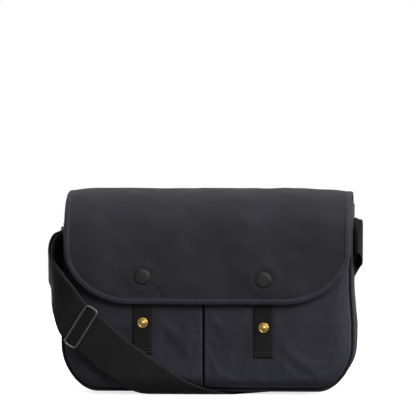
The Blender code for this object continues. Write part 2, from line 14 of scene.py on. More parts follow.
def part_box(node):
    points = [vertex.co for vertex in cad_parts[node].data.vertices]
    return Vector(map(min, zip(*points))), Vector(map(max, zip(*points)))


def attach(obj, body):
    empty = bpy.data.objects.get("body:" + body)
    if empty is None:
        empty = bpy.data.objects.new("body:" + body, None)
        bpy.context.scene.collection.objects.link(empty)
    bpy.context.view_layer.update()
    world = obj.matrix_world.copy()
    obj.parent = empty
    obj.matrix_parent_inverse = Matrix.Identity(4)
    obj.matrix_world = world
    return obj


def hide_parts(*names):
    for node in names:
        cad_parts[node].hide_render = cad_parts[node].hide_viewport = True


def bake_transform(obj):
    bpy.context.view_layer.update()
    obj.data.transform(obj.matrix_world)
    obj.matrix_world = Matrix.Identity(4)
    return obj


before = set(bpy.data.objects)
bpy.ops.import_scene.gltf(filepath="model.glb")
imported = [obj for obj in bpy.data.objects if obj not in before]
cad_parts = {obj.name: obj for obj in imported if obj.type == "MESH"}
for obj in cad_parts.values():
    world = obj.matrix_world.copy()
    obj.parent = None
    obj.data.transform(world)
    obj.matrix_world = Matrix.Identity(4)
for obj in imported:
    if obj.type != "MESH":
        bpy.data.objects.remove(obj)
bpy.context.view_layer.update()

# Camera
VIEW_AZIMUTH = radians(3.2)
VIEW_ELEVATION = radians(3)
VIEW_DISTANCE = 6.0
VIEW_WIDTH = 0.52
VIEW_RIGHT = -0.0020
VIEW_UP = 0.2297

# Light of the room round the bag
ROOM_BELOW = 0.17
ROOM_ABOVE = 0.50

# Body, as in the frame
HALF_WIDTH = 0.1785
BASE_Z = 0.005
CORNER_X = 0.042
CORNER_Z = 0.060
SIDE_SAG = 0.003
FRONT_Y = -0.0365
BACK_Y = 0.0595
BACK_BULGE = 0.0025
BACK_TOP_Z = 0.2425
MOUTH_FRONT_Z = 0.2160
MOUTH_BACK_Z = 0.2385
FABRIC = 0.0015
LINING = 0.0010
SEAM_INSET = 0.0034
PIPING_RADIUS = 0.0018
PIPING_INSET = 0.0008
LINING_IN = 0.0034
LINING_FRONT_Y = FRONT_Y + 0.0024
LINING_BACK_Y = BACK_Y - 0.0026
LINING_BASE_Z = BASE_Z + 0.0056

# Bindings
MOUTH_TAPE_WIDTH = 0.0090
POCKET_TAPE_WIDTH = 0.0105
TAPE_WIDTH = 0.0072

# Pockets and tabs
POCKET_SEAM_Y = -0.0400
POCKET_DEPTH = 0.0140
POCKET_TOP_DEPTH = 0.0065
POCKET_TOP_Z = 0.1650
POCKET_SPLIT = 0.0006
POCKET_ROUND = 0.030
POCKET_SPLIT_ROUND = 0.0020
POCKET_FOOT = 0.020
POCKET_SPLIT_X = -0.0050
TAB_WIDTH = 0.025
TAB_THICKNESS = 0.0015
TAB_X = {"left": -0.0800, "right": 0.0700}
TAB_BOTTOM_Z = {"left": 0.0518, "right": 0.0476}
STUD_Z = {"upper": {"left": 0.1480, "right": 0.1445}, "lower": {"left": 0.0905, "right": 0.0848}}

# Flap: its outer side in section, from the seam on the back over the top and down the front
FLAP_SECTION = [
    (0.0655, 0.2080), (0.0655, 0.2380), (0.0610, 0.2475), (0.0475, 0.2520), (0.0225, 0.2525),
    (-0.0075, 0.2490), (-0.0305, 0.2400), (-0.0475, 0.2230), (-0.0555, 0.1980), (-0.0595, 0.1680),
    (-0.0615, 0.1400), (-0.0620, 0.1130),
]
FLAP_CORNER_X = 0.085
FLAP_CORNER_Z = 0.070
FLAP_SKIN = 0.0012
FLAP_LINING_FROM = 0.034
FLAP_LINING_DROP = 0.0016

# Strap: 50 mm webbing
WEB_WIDTH = 0.050
WEB_THICKNESS = 0.0018
WEB_FRONT_Y = -0.0580
WEB_BACK_Y = 0.0695
WEB_FLOOR_Z = 0.0011
WEB_FRONT_BEND = 0.0210
WEB_BACK_BEND = 0.0125
WEB_TOP_Z = 0.1500
SLIDER_LIFT = 0.0090
LIFT_KEPT = 0.050
LIFT_FADES = 0.070
RETURN_GAP = 0.0026
RETURN_ROWS = 41
RING_BAR = (-0.1845, -0.0035)
RING_DEEP = 0.0135
RING_Z = 0.1760
RING_TURN = 0.0031
RING_HALF_TALL = 0.0290
RING_CORNER = 0.0040
RING_WIRE = 0.0014
CHAPE_THICKNESS = 0.0014
CHAPE_OUT = 0.0014
CHAPE_LAYERS = 0.0022
BOX_STITCH_HIGH = 0.043
WEB_ROUTE = [
    (-0.1557, 0.0640), (-0.1180, 0.0967), (-0.0775, 0.1268), (-0.0400, 0.1520), (0.0150, 0.1790),
    (0.0600, 0.2170), (0.0788, 0.2411), (0.0960, 0.2690), (0.1126, 0.3018), (0.1280, 0.3370),
    (0.1550, 0.4080),
]
LEFT_LOOP = [
    ((-0.1872, -0.0035, 0.1760), (0.00, 0.00, 1.00)),
    ((-0.1948, -0.0125, 0.1725), (0.02, -0.20, 0.98)),
    ((-0.1988, -0.0265, 0.1618), (0.03, -0.42, 0.91)),
    ((-0.1948, -0.0415, 0.1488), (0.03, -0.60, 0.80)),
    ((-0.1862, -0.0565, 0.1305), (0.28, -0.48, 0.83)),
    ((-0.1760, -0.0650, 0.1128), (0.47, -0.18, 0.86)),
    ((-0.1662, -0.0670, 0.0968), (0.62, 0.00, 0.78)),
]
RIGHT_LOOP = [
    ((0.1732, 0.0685, 0.1755), (0.60, -0.05, -0.80)),
    ((0.1872, 0.0570, 0.1800), (0.04, -0.04, -1.00)),
    ((0.1888, 0.0375, 0.1820), (0.00, 0.00, -1.00)),
    ((0.1902, 0.0100, 0.1870), (0.00, -0.15, -0.99)),
    ((0.1896, -0.0060, 0.1930), (0.00, -0.42, -0.91)),
    ((0.1860, -0.0092, 0.1960), (0.00, -0.58, -0.81)),
    ((0.1823, -0.0065, 0.1955), (0.00, -0.40, -0.92)),
    ((0.1808, 0.0015, 0.1930), (0.00, 0.00, -1.00)),
    ((0.1808, 0.0195, 0.1910), (0.00, 0.00, -1.00)),
    ((0.1808, 0.0375, 0.1895), (0.00, 0.00, -1.00)),
]

# Slider
SLIDER_LONG = 0.0570
SLIDER_SHORT = 0.0190
SLIDER_WIRE = 0.0014
SLIDER_CORNER = 0.0046
SLIDER_BAR_BEHIND = 0.0044
SLIDER_FRAME_AHEAD = 0.0028
SLIDER_BAR_RADIUS = 0.0013
SLIDER_TILT = radians(-9)
END_THICKNESS = 0.0014
SLIDER_AT = Vector((WEB_ROUTE[0][0], WEB_FRONT_Y - SLIDER_LIFT, WEB_TOP_Z - WEB_ROUTE[0][1]))
SLIDER_ACROSS = Matrix.Rotation(SLIDER_TILT, 3, "Y") @ Vector((0.655, 0.0, 0.755)).normalized()
SLIDER_ALONG = SLIDER_ACROSS.cross(Vector((0.0, -1.0, 0.0))).normalized()


# ---------------------------------------------------------------- curves and grids

def smooth_line(controls, per_span):
    """Points on a smooth curve through the control points, which may be whole rows of points."""
    controls = np.asarray(controls, float)
    first = 2 * controls[0] - controls[1]
    last = 2 * controls[-1] - controls[-2]
    padded = np.concatenate([[first], controls, [last]])
    out = []
    for i in range(1, len(padded) - 2):
        p0, p1, p2, p3 = padded[i - 1:i + 3]
        for k in range(per_span):
            t = k / per_span
            out.append(
                p1 + 0.5 * t * (p2 - p0 + t * (2 * p0 - 5 * p1 + 4 * p2 - p3 + t * (3 * (p1 - p2) + p3 - p0)))
            )
    out.append(padded[-2])
    return np.array(out)


def unit(vectors):
    return vectors / np.maximum(np.linalg.norm(vectors, axis=-1, keepdims=True), 1e-12)


def smoothstep(t):
    t = np.clip(t, 0.0, 1.0)
    return t * t * (3 - 2 * t)


def ramp(value, start, length):
    """From 0 at the start to 1 a length further on, with soft ends."""
    return smoothstep((value - start) / length)


def bell(away, width):
    """1 where away is 0, falling softly to nothing some widths off."""
    return np.exp(-(away / width) ** 2)


def lengths_along(points):
    """Distance travelled along a line of points, or down each column of a grid."""
    steps = np.linalg.norm(np.diff(points, axis=0), axis=-1)
    return np.concatenate([np.zeros_like(steps[:1]), np.cumsum(steps, axis=0)])


def evenly(points, spacing):
    """The line again, with a point every so often."""
    travelled = lengths_along(points)
    count = max(2, int(round(travelled[-1] / spacing)) + 1)
    marks = np.linspace(0.0, travelled[-1], count)
    return np.stack([np.interp(marks, travelled, points[:, k]) for k in range(points.shape[1])], axis=1)


def soft_waves(u, v, length, seed, count=9):
    """Soft unevenness with waves of about that length, mostly from -1 to 1."""
    rng = np.random.default_rng(seed)
    total = 0.0
    for _ in range(count):
        angle, stretch, phase = rng.uniform(0, 2 * pi), rng.uniform(0.7, 1.7), rng.uniform(0, 2 * pi)
        wave = 2 * pi / (length * stretch)
        total = total + np.sin(wave * (u * cos(angle) + v * sin(angle)) + phase)
    return total / (1.2 * sqrt(count))


def grid_normals(grid):
    return unit(np.cross(np.gradient(grid, axis=1), np.gradient(grid, axis=0)))


def grid_uv(grid):
    """A grid's own lengths in metres: across from its middle column, and down from its first row."""
    across = lengths_along(np.swapaxes(grid, 0, 1)).T
    across = across - across[:, grid.shape[1] // 2][:, None]
    return np.stack([across, lengths_along(grid)], axis=-1)


def face_out(mesh):
    """Turns a closed mesh so that its faces look outward."""
    shape = bmesh.new()
    shape.from_mesh(mesh)
    inward = shape.calc_volume(signed=True) < 0
    shape.free()
    if inward:
        mesh.flip_normals()


def added(name, data):
    """An object with this data, in the scene."""
    made = bpy.data.objects.new(name, data)
    bpy.context.scene.collection.objects.link(made)
    return made


def finished(name, mesh, look):
    """A closed mesh as an object that faces out, is shaded smooth and has its material."""
    face_out(mesh)
    mesh.shade_smooth()
    mesh.materials.append(look)
    return added(name, mesh)


def skin(name, rings, uv, look, closed=False, wear=None):
    """A closed mesh over rings of points. uv has one more column than the rings, and a row more if closed."""
    rows, around = rings.shape[:2]
    spans = rows if closed else rows - 1
    i, j = np.meshgrid(np.arange(spans), np.arange(around), indexing="ij")
    down, right = (i + 1) % rows, (j + 1) % around
    faces = np.stack([i * around + j, i * around + right, down * around + right, down * around + j], axis=-1)
    corners = np.stack([uv[i, j], uv[i, j + 1], uv[i + 1, j + 1], uv[i + 1, j]], axis=-2)
    faces, corners = faces.reshape(-1, 4), corners.reshape(-1, 4, 2)
    if not closed:
        half = around // 2
        k = np.arange(half - 1)
        rim = np.stack([k, around - 1 - k, around - 2 - k, k + 1], axis=-1)
        end = (rows - 1) * around + rim[:, ::-1]
        faces = np.concatenate([faces, rim, end])
        corners = np.concatenate([corners, uv[0][rim], uv[-1][rim[:, ::-1]]])
    mesh = bpy.data.meshes.new(name)
    mesh.from_pydata(rings.reshape(-1, 3).tolist(), [], faces.tolist())
    mesh.uv_layers.new(name="UVMap").data.foreach_set("uv", corners.astype(np.float32).ravel())
    if wear is not None:
        worn = mesh.attributes.new("wear", "FLOAT", "POINT")
        worn.data.foreach_set("value", np.broadcast_to(wear, rings.shape[:2]).astype(np.float32).ravel())
    return finished(name, mesh, look)


def cloth(name, grid, thickness, look, side=-1.0, wear=0.0):
    """A closed sheet over a grid of points.

    Its thickness lies behind them (side -1), ahead of them (1) or both ways (0).
    """
    normals = grid_normals(grid)
    thick = np.broadcast_to(np.asarray(thickness, float), grid.shape[:2])[..., None]
    front = grid + normals * thick * (1 + side) / 2
    back = grid - normals * thick * (1 - side) / 2
    uv = grid_uv(grid)
    wear = np.broadcast_to(wear, grid.shape[:2])
    wear = np.concatenate([wear, wear[:, ::-1]], axis=1)
    rings = np.concatenate([front, back[:, ::-1]], axis=1)
    return skin(name, rings, np.concatenate([uv, uv[:, ::-1], uv[:, :1]], axis=1), look, wear=wear)


def swept(name, line, side, out, profile, look, closed=False, swell=None, wear=None):
    """A closed profile of (side, out) pairs that follows a line of points."""
    profile = np.asarray(profile, float)
    scale = np.ones(len(line)) if swell is None else swell
    ahead = out[:, None] * profile[None, :, 1:] * scale[:, None, None]
    rings = line[:, None] + (side[:, None] * profile[None, :, :1] + ahead)
    around = lengths_along(np.concatenate([profile, profile[:1]]))
    along = lengths_along(line)
    if closed:
        along = np.append(along, along[-1] + np.linalg.norm(line[0] - line[-1]))
    uv = np.stack(np.broadcast_arrays(around[None, :], along[:, None]), axis=-1)
    return skin(name, rings, uv, look, closed=closed, wear=wear)


def tangents(line, closed=False):
    if closed:
        return unit(np.roll(line, -1, axis=0) - np.roll(line, 1, axis=0))
    return unit(np.gradient(line, axis=0))


def round_profile(radius, sides=12, squareness=2.0):
    """A circle, or a rounded square where squareness is above 2. It runs clockwise."""
    points = []
    for k in range(sides):
        angle = -2 * pi * k / sides
        across, along = cos(angle), sin(angle)
        reach = (abs(across) ** squareness + abs(along) ** squareness) ** (-1 / squareness)
        points.append((radius * across * reach, radius * along * reach))
    return points


def wire(name, line, radius, look, closed=False, up=(0, 0, 1), sides=14, squareness=2.0):
    """A rod or cord along a line that lies roughly in one plane, up being that plane's normal."""
    line = np.asarray(line, float)
    along = tangents(line, closed)
    side = unit(np.cross(along, np.asarray(up, float)))
    out = unit(np.cross(side, along))
    return swept(name, line, side, out, round_profile(radius, sides, squareness), look, closed=closed)


def turned(name, profile, place, look, facing=-1.0, steps=64, relief=None):
    """A turned piece along Y. The profile is (radius, height) from the middle of its face out to its back."""
    profile = evenly(smooth_line(profile, 6), 0.00028)
    angles = 2 * pi * np.arange(steps) / steps
    radius, height = np.maximum(profile[:, 0], 0.0)[:, None], profile[:, 1][:, None]
    if relief is not None:
        height = height + relief(radius, angles[None, :])
    height = np.broadcast_to(height, (len(profile), steps))
    x = radius * np.cos(angles)[None, :]
    z = radius * np.sin(angles)[None, :] * -facing
    rings = np.stack([x, facing * height, z], axis=-1) + np.array(place)
    points = [tuple(p) for p in rings[1:-1].reshape(-1, 3)]
    first, last = len(points), len(points) + 1
    points += [tuple(rings[0].mean(axis=0)), tuple(rings[-1].mean(axis=0))]
    faces, rows = [], len(profile) - 2
    for j in range(steps):
        k = (j + 1) % steps
        faces.append((first, j, k))
        faces.append((last, (rows - 1) * steps + k, (rows - 1) * steps + j))
        for i in range(rows - 1):
            faces.append((i * steps + j, (i + 1) * steps + j, (i + 1) * steps + k, i * steps + k))
    mesh = bpy.data.meshes.new(name)
    mesh.from_pydata(points, [], faces)
    return finished(name, mesh, look)


def draped(grid, slack, growth, outward, inward, frames=24):
    """The grid after a cloth simulation. Its cloth grows a little and buckles where slack is above 0."""
    rows, columns = grid.shape[:2]
    points = grid.reshape(-1, 3)
    i, j = np.meshgrid(np.arange(rows - 1), np.arange(columns - 1), indexing="ij")
    a = (i * columns + j).ravel()
    faces = np.stack([a, a + 1, a + columns + 1, a + columns], axis=-1)
    mesh = bpy.data.meshes.new("drape")
    mesh.from_pydata(points.tolist(), [], faces.tolist())
    made = added("drape", mesh)
    pins = made.vertex_groups.new(name="pins")
    for k, free in enumerate(slack.ravel()):
        pins.add([k], float(np.clip(1 - free, 0.0, 1.0)) ** 2, "REPLACE")
    settings = made.modifiers.new("cloth", "CLOTH").settings
    settings.quality = 8
    settings.mass = 0.25
    settings.air_damping = 4.0
    settings.tension_stiffness = settings.compression_stiffness = 30.0
    settings.shear_stiffness = 12.0
    settings.bending_stiffness = 0.6
    settings.vertex_group_mass = "pins"
    settings.shrink_min = settings.shrink_max = -growth
    settings.effector_weights.gravity = 0.12
    scene = bpy.context.scene
    for step in range(1, frames + 1):
        scene.frame_set(step)
    settled = made.evaluated_get(bpy.context.evaluated_depsgraph_get()).to_mesh()
    moved = np.empty(len(points) * 3)
    settled.vertices.foreach_get("co", moved)
    moved = moved.reshape(grid.shape)
    scene.frame_set(1)
    bpy.data.objects.remove(made)
    bpy.data.meshes.remove(mesh)
    normals = grid_normals(grid)
    rise = ((moved - grid) * normals).sum(axis=-1)
    rise = np.where(rise > 0, outward * np.tanh(rise / outward), inward * np.tanh(rise / inward))
    return grid + normals * (rise * smoothstep(slack * 2))[..., None]


STITCH_RINGS = [
    (-1.0, 0.25, -0.9), (-0.8, 0.8, 0.0), (-0.35, 1.0, 0.55),
    (0.35, 1.0, 0.55), (0.8, 0.8, 0.0), (1.0, 0.25, -0.9),
]


def stitches(name, lines, look, length=0.0026, pitch=0.0036, radius=0.00032):
    """Stitches along lines, each line a pair of points and the cloth's normals there."""
    points, faces = [], []
    sides = 6
    for line, normal in lines:
        both = evenly(np.concatenate([line, normal], axis=1), pitch)
        line, normal = both[:, :3], unit(both[:, 3:])
        along = tangents(line)
        across = unit(np.cross(along, normal))
        for spot, a, c, n in zip(line, along, across, normal):
            start = len(points)
            for reach, thick, rise in STITCH_RINGS:
                middle = spot + a * reach * length / 2 + n * rise * radius
                for k in range(sides):
                    angle = 2 * pi * k / sides
                    points.append(middle + (c * cos(angle) + n * sin(angle)) * thick * radius)
            for i in range(len(STITCH_RINGS) - 1):
                for k in range(sides):
                    p, q = start + i * sides + k, start + i * sides + (k + 1) % sides
                    faces.append((p, q, q + sides, p + sides))
            faces.append(tuple(start + k for k in reversed(range(sides))))
            faces.append(tuple(start + (len(STITCH_RINGS) - 1) * sides + k for k in range(sides)))
    mesh = bpy.data.meshes.new(name)
    mesh.from_pydata([tuple(p) for p in points], [], faces)
    return finished(name, mesh, look)


# ---------------------------------------------------------------- materials

class Look:
    """A node material, with short ways to add and join its nodes."""

    def __init__(self, name, roughness, metallic=0.0, **finish):
        self.material = bpy.data.materials.new(name)
        self.material.use_nodes = True
        self.tree = self.material.node_tree
        self.shader = self.tree.nodes["Principled BSDF"]
        self.set(self.shader, {"Roughness": roughness, "Metallic": metallic, **finish})

    def set(self, node, values):
        for key, value in values.items():
            if isinstance(value, bpy.types.NodeSocket):
                self.tree.links.new(value, node.inputs[key])
            else:
                node.inputs[key].default_value = value

    def node(self, kind, values=None, **settings):
        made = self.tree.nodes.new(kind)
        for key, value in settings.items():
            setattr(made, key, value)
        self.set(made, values or {})
        return made

    def math(self, operation, a, b=0.0):
        return self.node("ShaderNodeMath", {0: a, 1: b}, operation=operation).outputs[0]

    def uv(self):
        split = self.node("ShaderNodeSeparateXYZ", {0: self.node("ShaderNodeTexCoord").outputs["UV"]})
        return split.outputs["X"], split.outputs["Y"]

    def place(self):
        return self.node("ShaderNodeTexCoord").outputs["Object"]

    def noise(self, scale, detail=2.0, roughness=0.5):
        values = {"Vector": self.place(), "Scale": scale, "Detail": detail, "Roughness": roughness}
        return self.node("ShaderNodeTexNoise", values).outputs["Fac"]

    def spread(self, value, low, high, to_low, to_high):
        values = {"Value": value, "From Min": low, "From Max": high, "To Min": to_low, "To Max": to_high}
        return self.node("ShaderNodeMapRange", values).outputs[0]

    def wave(self, value, period, phase=0.0):
        """A sine of a length, from -1 to 1."""
        turned_to = self.math("MULTIPLY_ADD", value, 2 * pi / period)
        turned_to.node.inputs[2].default_value = phase
        return self.math("SINE", turned_to)

    def mix(self, factor, a, b):
        """Colours a and b mixed; each is a socket or a triple."""
        made = self.node("ShaderNodeMix", data_type="RGBA")
        a, b = (c if isinstance(c, bpy.types.NodeSocket) else (*c, 1.0) for c in (a, b))
        self.set(made, {0: factor, 6: a, 7: b})
        return made.outputs[2]

    def worn(self):
        return self.node("ShaderNodeAttribute", attribute_name="wear").outputs["Fac"]

    def bump(self, height, distance, strength=1.0, under=None):
        made = self.node("ShaderNodeBump", {"Height": height, "Distance": distance, "Strength": strength})
        if under is not None:
            self.set(made, {"Normal": under})
        return made.outputs["Normal"]

    def finish(self, colour=None, roughness=None, normal=None):
        for key, value in (("Base Color", colour), ("Roughness", roughness), ("Normal", normal)):
            if value is not None:
                self.set(self.shader, {key: value})
        return self.material


def shade(colour, times):
    return tuple(c * times for c in colour)


def woven(name, colour, roughness, pitch, depth, sheen, shine=0.22, creases=0.0003):
    """A plain weave with soft tonal variation, a little fuzz and paler worn places."""
    finish = {"Sheen Weight": sheen, "Sheen Roughness": 0.45, "Specular IOR Level": shine}
    look = Look(name, roughness, **finish)
    u, v = look.uv()
    threads = look.math("MULTIPLY", look.wave(u, pitch), look.wave(v, pitch))
    patches = look.spread(look.noise(14.0, 3.0), 0.35, 0.65, 0.0, 1.0)
    tone = look.mix(patches, shade(colour, 0.86), shade(colour, 1.14))
    slubs = look.spread(look.noise(900.0, 2.0), 0.3, 0.7, 0.0, 1.0)
    tone = look.mix(look.math("MULTIPLY", slubs, 0.35), tone, shade(colour, 1.35))
    shown = look.spread(threads, -1.0, 1.0, 0.0, 0.22)
    tone = look.mix(shown, tone, shade(colour, 0.55))
    rubbed = look.math("MULTIPLY", look.worn(), look.spread(look.noise(220.0, 3.0), 0.35, 0.7, 0.15, 0.7))
    tone = look.mix(rubbed, tone, shade(colour, 2.1))
    soft = look.bump(look.noise(60.0, 4.0, 0.6), creases)
    rough = look.spread(look.noise(35.0, 3.0), 0.3, 0.7, roughness - 0.07, roughness + 0.07)
    return look.finish(tone, rough, look.bump(threads, depth, under=soft))


def webbing(name, colour, roughness, rib=0.0021, pick=0.0016):
    """Tight ribbed webbing: ribs down its length, with the picks slanting over each in turn."""
    look = Look(name, roughness, **{"Sheen Weight": 0.03, "Sheen Roughness": 0.5, "Specular IOR Level": 0.14})
    u, v = look.uv()
    ribs = look.math("ABSOLUTE", look.wave(u, 2 * rib))
    slant = look.math("ADD", v, look.math("MULTIPLY", look.math("PINGPONG", u, rib), 1.4))
    picks = look.wave(slant, pick)
    height = look.math("ADD", look.math("MULTIPLY", ribs, 0.7), look.math("MULTIPLY", picks, 0.3))
    # Painted shade and highlight: the tone follows the rib height, darker in the hollows and lighter on the
    # crests.
    tone = look.mix(look.spread(height, 0.0, 1.0, 0.0, 1.0), shade(colour, 0.55), shade(colour, 1.3))
    patches = look.spread(look.noise(22.0, 3.0), 0.35, 0.65, 0.0, 0.5)
    tone = look.mix(patches, tone, shade(colour, 1.5))
    rubbed = look.math("MULTIPLY", look.worn(), look.spread(look.noise(300.0, 3.0), 0.3, 0.7, 0.2, 0.8))
    tone = look.mix(rubbed, tone, shade(colour, 3.2))
    fuzz = look.bump(look.noise(1200.0, 2.0), 0.00006)
    return look.finish(tone, None, look.bump(height, 0.00020, under=fuzz))


def metal(name, colour, roughness, worn_colour, scratch=0.35):
    """Plated metal with a brushed bloom, faint scratches and brighter rubbed patches."""
    look = Look(name, roughness, metallic=1.0)
    rubbed = look.spread(look.noise(260.0, 4.0, 0.65), 0.52, 0.68, 0.0, 0.7)
    tone = look.mix(rubbed, colour, worn_colour)
    streaks = look.node("ShaderNodeMapping", {"Vector": look.place(), "Scale": (160.0, 900.0, 2600.0)})
    lines = look.node("ShaderNodeTexNoise", {"Vector": streaks.outputs[0], "Scale": 1.0, "Detail": 3.0})
    fine = look.spread(lines.outputs["Fac"], 0.35, 0.65, 0.0, 1.0)
    rough = look.spread(fine, 0.0, 1.0, roughness - 0.06, roughness + scratch * 0.4)
    return look.finish(tone, rough, look.bump(fine, 0.00002))


def thread(name, colour):
    """Twisted sewing thread."""
    look = Look(name, 0.55, **{"Sheen Weight": 0.15})
    twist = look.noise(2200.0, 2.0)
    tone = look.mix(look.spread(twist, 0.3, 0.7, 0.0, 1.0), shade(colour, 0.7), shade(colour, 1.3))
    return look.finish(tone, None, look.bump(twist, 0.00008))


def board(name, colour):
    """Fibre board with a mottled, slightly pitted face."""
    look = Look(name, 0.75)
    flecks = look.noise(420.0, 4.0, 0.7)
    tone = look.mix(look.spread(flecks, 0.35, 0.65, 0.0, 1.0), shade(colour, 0.6), shade(colour, 1.5))
    return look.finish(tone, None, look.bump(flecks, 0.0002))


def studio_floor(name):
    look = Look(name, 0.9, **{"Emission Color": (1.0, 1.0, 1.0, 1.0), "Emission Strength": 0.75})
    grain = look.noise(30.0, 3.0)
    return look.finish(look.mix(grain, (0.93, 0.93, 0.93), (0.96, 0.96, 0.96)))


NAVY = woven("navy_cloth", (0.0172, 0.0174, 0.0262), 0.52, 0.0011, 0.00009, 0.05)
# A paler copy of the navy cloth for the gusset. The extra lightness is painted light, standing in for the
# light that falls on the bag's right side.
LIT_GUSSET_NAVY = woven("navy_gusset_cloth_painted_light", (0.0225, 0.0228, 0.0345), 0.50, 0.0011, 0.00009, 0.05)
# A darker, less blue copy of the navy cloth for the flap. Its darkening is painted shade, offsetting the
# strong light from above that falls on the flap.
SHADED_FLAP_NAVY = woven("navy_flap_cloth_painted_shade", (0.0148, 0.0152, 0.0208), 0.52, 0.0011, 0.00009, 0.04, shine=0.18)
TAPE = woven("navy_tape", (0.0168, 0.0171, 0.0245), 0.50, 0.0008, 0.00007, 0.05)
LINING_CLOTH = woven("lining_cloth", (0.030, 0.032, 0.040), 0.70, 0.0009, 0.00006, 0.05)
BLACK_WEB = webbing("black_web", (0.0072, 0.0073, 0.0075), 0.72)
NAVY_THREAD = thread("navy_thread", (0.030, 0.032, 0.045))
BLACK_THREAD = thread("black_thread", (0.012, 0.012, 0.013))
GUNMETAL = metal("gunmetal", (0.13, 0.13, 0.122), 0.34, (0.26, 0.26, 0.24))
CAP_METAL = metal("cap_metal", (0.043, 0.0455, 0.0435), 0.50, (0.070, 0.074, 0.067))
BRASS = metal("brass_plate", (0.74, 0.55, 0.20), 0.22, (0.88, 0.72, 0.36), scratch=0.2)
BOARD = board("fibre_board", (0.05, 0.05, 0.05))


# ---------------------------------------------------------------- camera, light and floor

def make_camera():
    back = Vector((
        sin(VIEW_AZIMUTH) * cos(VIEW_ELEVATION), -cos(VIEW_AZIMUTH) * cos(VIEW_ELEVATION), sin(VIEW_ELEVATION)
    ))
    right = Vector((cos(VIEW_AZIMUTH), sin(VIEW_AZIMUTH), 0.0))
    aim = right * VIEW_RIGHT + back.cross(right) * VIEW_UP
    data = bpy.data.cameras.new("camera")
    data.sensor_width = 36.0
    data.lens = data.sensor_width * VIEW_DISTANCE / VIEW_WIDTH
    camera = added("camera", data)
    camera.location = aim + back * VIEW_DISTANCE
    camera.rotation_mode = "QUATERNION"
    camera.rotation_quaternion = (-back).to_track_quat("-Z", "Y")
    bpy.context.scene.camera = camera


def softbox(name, place, aim, size, power):
    data = bpy.data.lights.new(name, "AREA")
    data.shape = "RECTANGLE"
    data.size, data.size_y = size
    data.energy = power
    light = added(name, data)
    light.location = place
    light.visible_camera = False
    light.rotation_mode = "QUATERNION"
    light.rotation_quaternion = (Vector(aim) - Vector(place)).to_track_quat("-Z", "Y")


def make_world():
    """White behind the bag, and a softer room all round it that is darker below."""
    world = bpy.data.worlds.new("studio")
    bpy.context.scene.world = world
    world.use_nodes = True
    tree = world.node_tree
    place = tree.nodes.new("ShaderNodeTexCoord")
    split = tree.nodes.new("ShaderNodeSeparateXYZ")
    room = tree.nodes.new("ShaderNodeMapRange")
    room.inputs["From Min"].default_value = -1.0
    room.inputs["To Min"].default_value = ROOM_BELOW
    room.inputs["To Max"].default_value = ROOM_ABOVE
    path = tree.nodes.new("ShaderNodeLightPath")
    strength = tree.nodes.new("ShaderNodeMath")
    strength.operation = "MAXIMUM"
    tree.links.new(place.outputs["Generated"], split.inputs[0])
    tree.links.new(split.outputs["Z"], room.inputs["Value"])
    tree.links.new(room.outputs[0], strength.inputs[0])
    tree.links.new(path.outputs["Is Camera Ray"], strength.inputs[1])
    background = tree.nodes["Background"]
    background.inputs["Color"].default_value = (1.0, 1.0, 1.0, 1.0)
    tree.links.new(strength.outputs[0], background.inputs["Strength"])


def make_studio():
    make_world()
    softbox("key_light", (1.1, -1.9, 1.3), (0.0, 0.0, 0.12), (1.3, 1.1), 36.0)
    softbox("top_light", (0.1, -0.1, 2.2), (0.0, 0.0, 0.2), (1.8, 1.2), 19.0)
    softbox("back_light", (-0.6, 2.1, 0.17), (0.0, 0.0, 0.13), (1.6, 0.18), 16.0)
    softbox("side_light", (2.0, -0.35, 0.75), (0.15, 0.0, 0.12), (0.9, 0.9), 26.0)
    mesh = bpy.data.meshes.new("floor")
    far = 1.3
    mesh.from_pydata([(-far, -far, 0), (far, -far, 0), (far, far, 0), (-far, far, 0)], [], [(0, 1, 2, 3)])
    mesh.materials.append(studio_floor("studio_floor"))
    floor = added("floor", mesh)
    floor.visible_diffuse = False
    floor.visible_glossy = False
    bpy.context.scene.view_settings.view_transform = "Standard"


# ---------------------------------------------------------------- body

def side_sag(z):
    """How far the full lower body stands out at its sides."""
    return SIDE_SAG * ramp(z, BASE_Z, 0.050) * (1 - ramp(z, 0.085, 0.050))


def half_width(z, inset=0.0):
    """Half the body's width at a height, in from its outline by inset."""
    drop = np.clip((BASE_Z + CORNER_Z - z) / (CORNER_Z - inset), 0.0, 1.0)
    return HALF_WIDTH - CORNER_X + (CORNER_X - inset) * np.sqrt(1 - drop * drop) + side_sag(z)


def panel_heights(inset, top, corner_steps=18, spacing=0.005):
    """Heights up a panel, closer together where the outline turns at the base."""
    turn_z = BASE_Z + CORNER_Z
    angles = np.linspace(pi / 2, 0.0, corner_steps + 1)
    turning = turn_z - (CORNER_Z - inset) * np.sin(angles)
    return np.concatenate([turning, np.linspace(turn_z, top, int((top - turn_z) / spacing))[1:]])


def outline(inset, top_z, spacing=0.004):
    """The body's outline (x, z) from the top left, round the base, to the top right."""
    turn_x, turn_z = HALF_WIDTH - CORNER_X, BASE_Z + CORNER_Z
    side = [(HALF_WIDTH - inset, z) for z in np.linspace(top_z, turn_z, 40)[:-1]]
    for angle in np.linspace(0.0, pi / 2, 25):
        side.append((turn_x + (CORNER_X - inset) * cos(angle), turn_z - (CORNER_Z - inset) * sin(angle)))
    side = [(x + float(side_sag(z)), z) for x, z in side]
    base = [(x, BASE_Z + inset) for x in np.linspace(turn_x, -turn_x, 50)[1:-1]]
    whole = [(-x, z) for x, z in side] + [(-x, z) for x, z in base] + [(x, z) for x, z in reversed(side)]
    return evenly(np.array(whole), spacing)


def mouth_z(y):
    share = np.clip((y - FRONT_Y) / (BACK_Y - FRONT_Y), 0.0, 1.0)
    return MOUTH_FRONT_Z + (MOUTH_BACK_Z - MOUTH_FRONT_Z) * np.sin(pi / 2 * share)


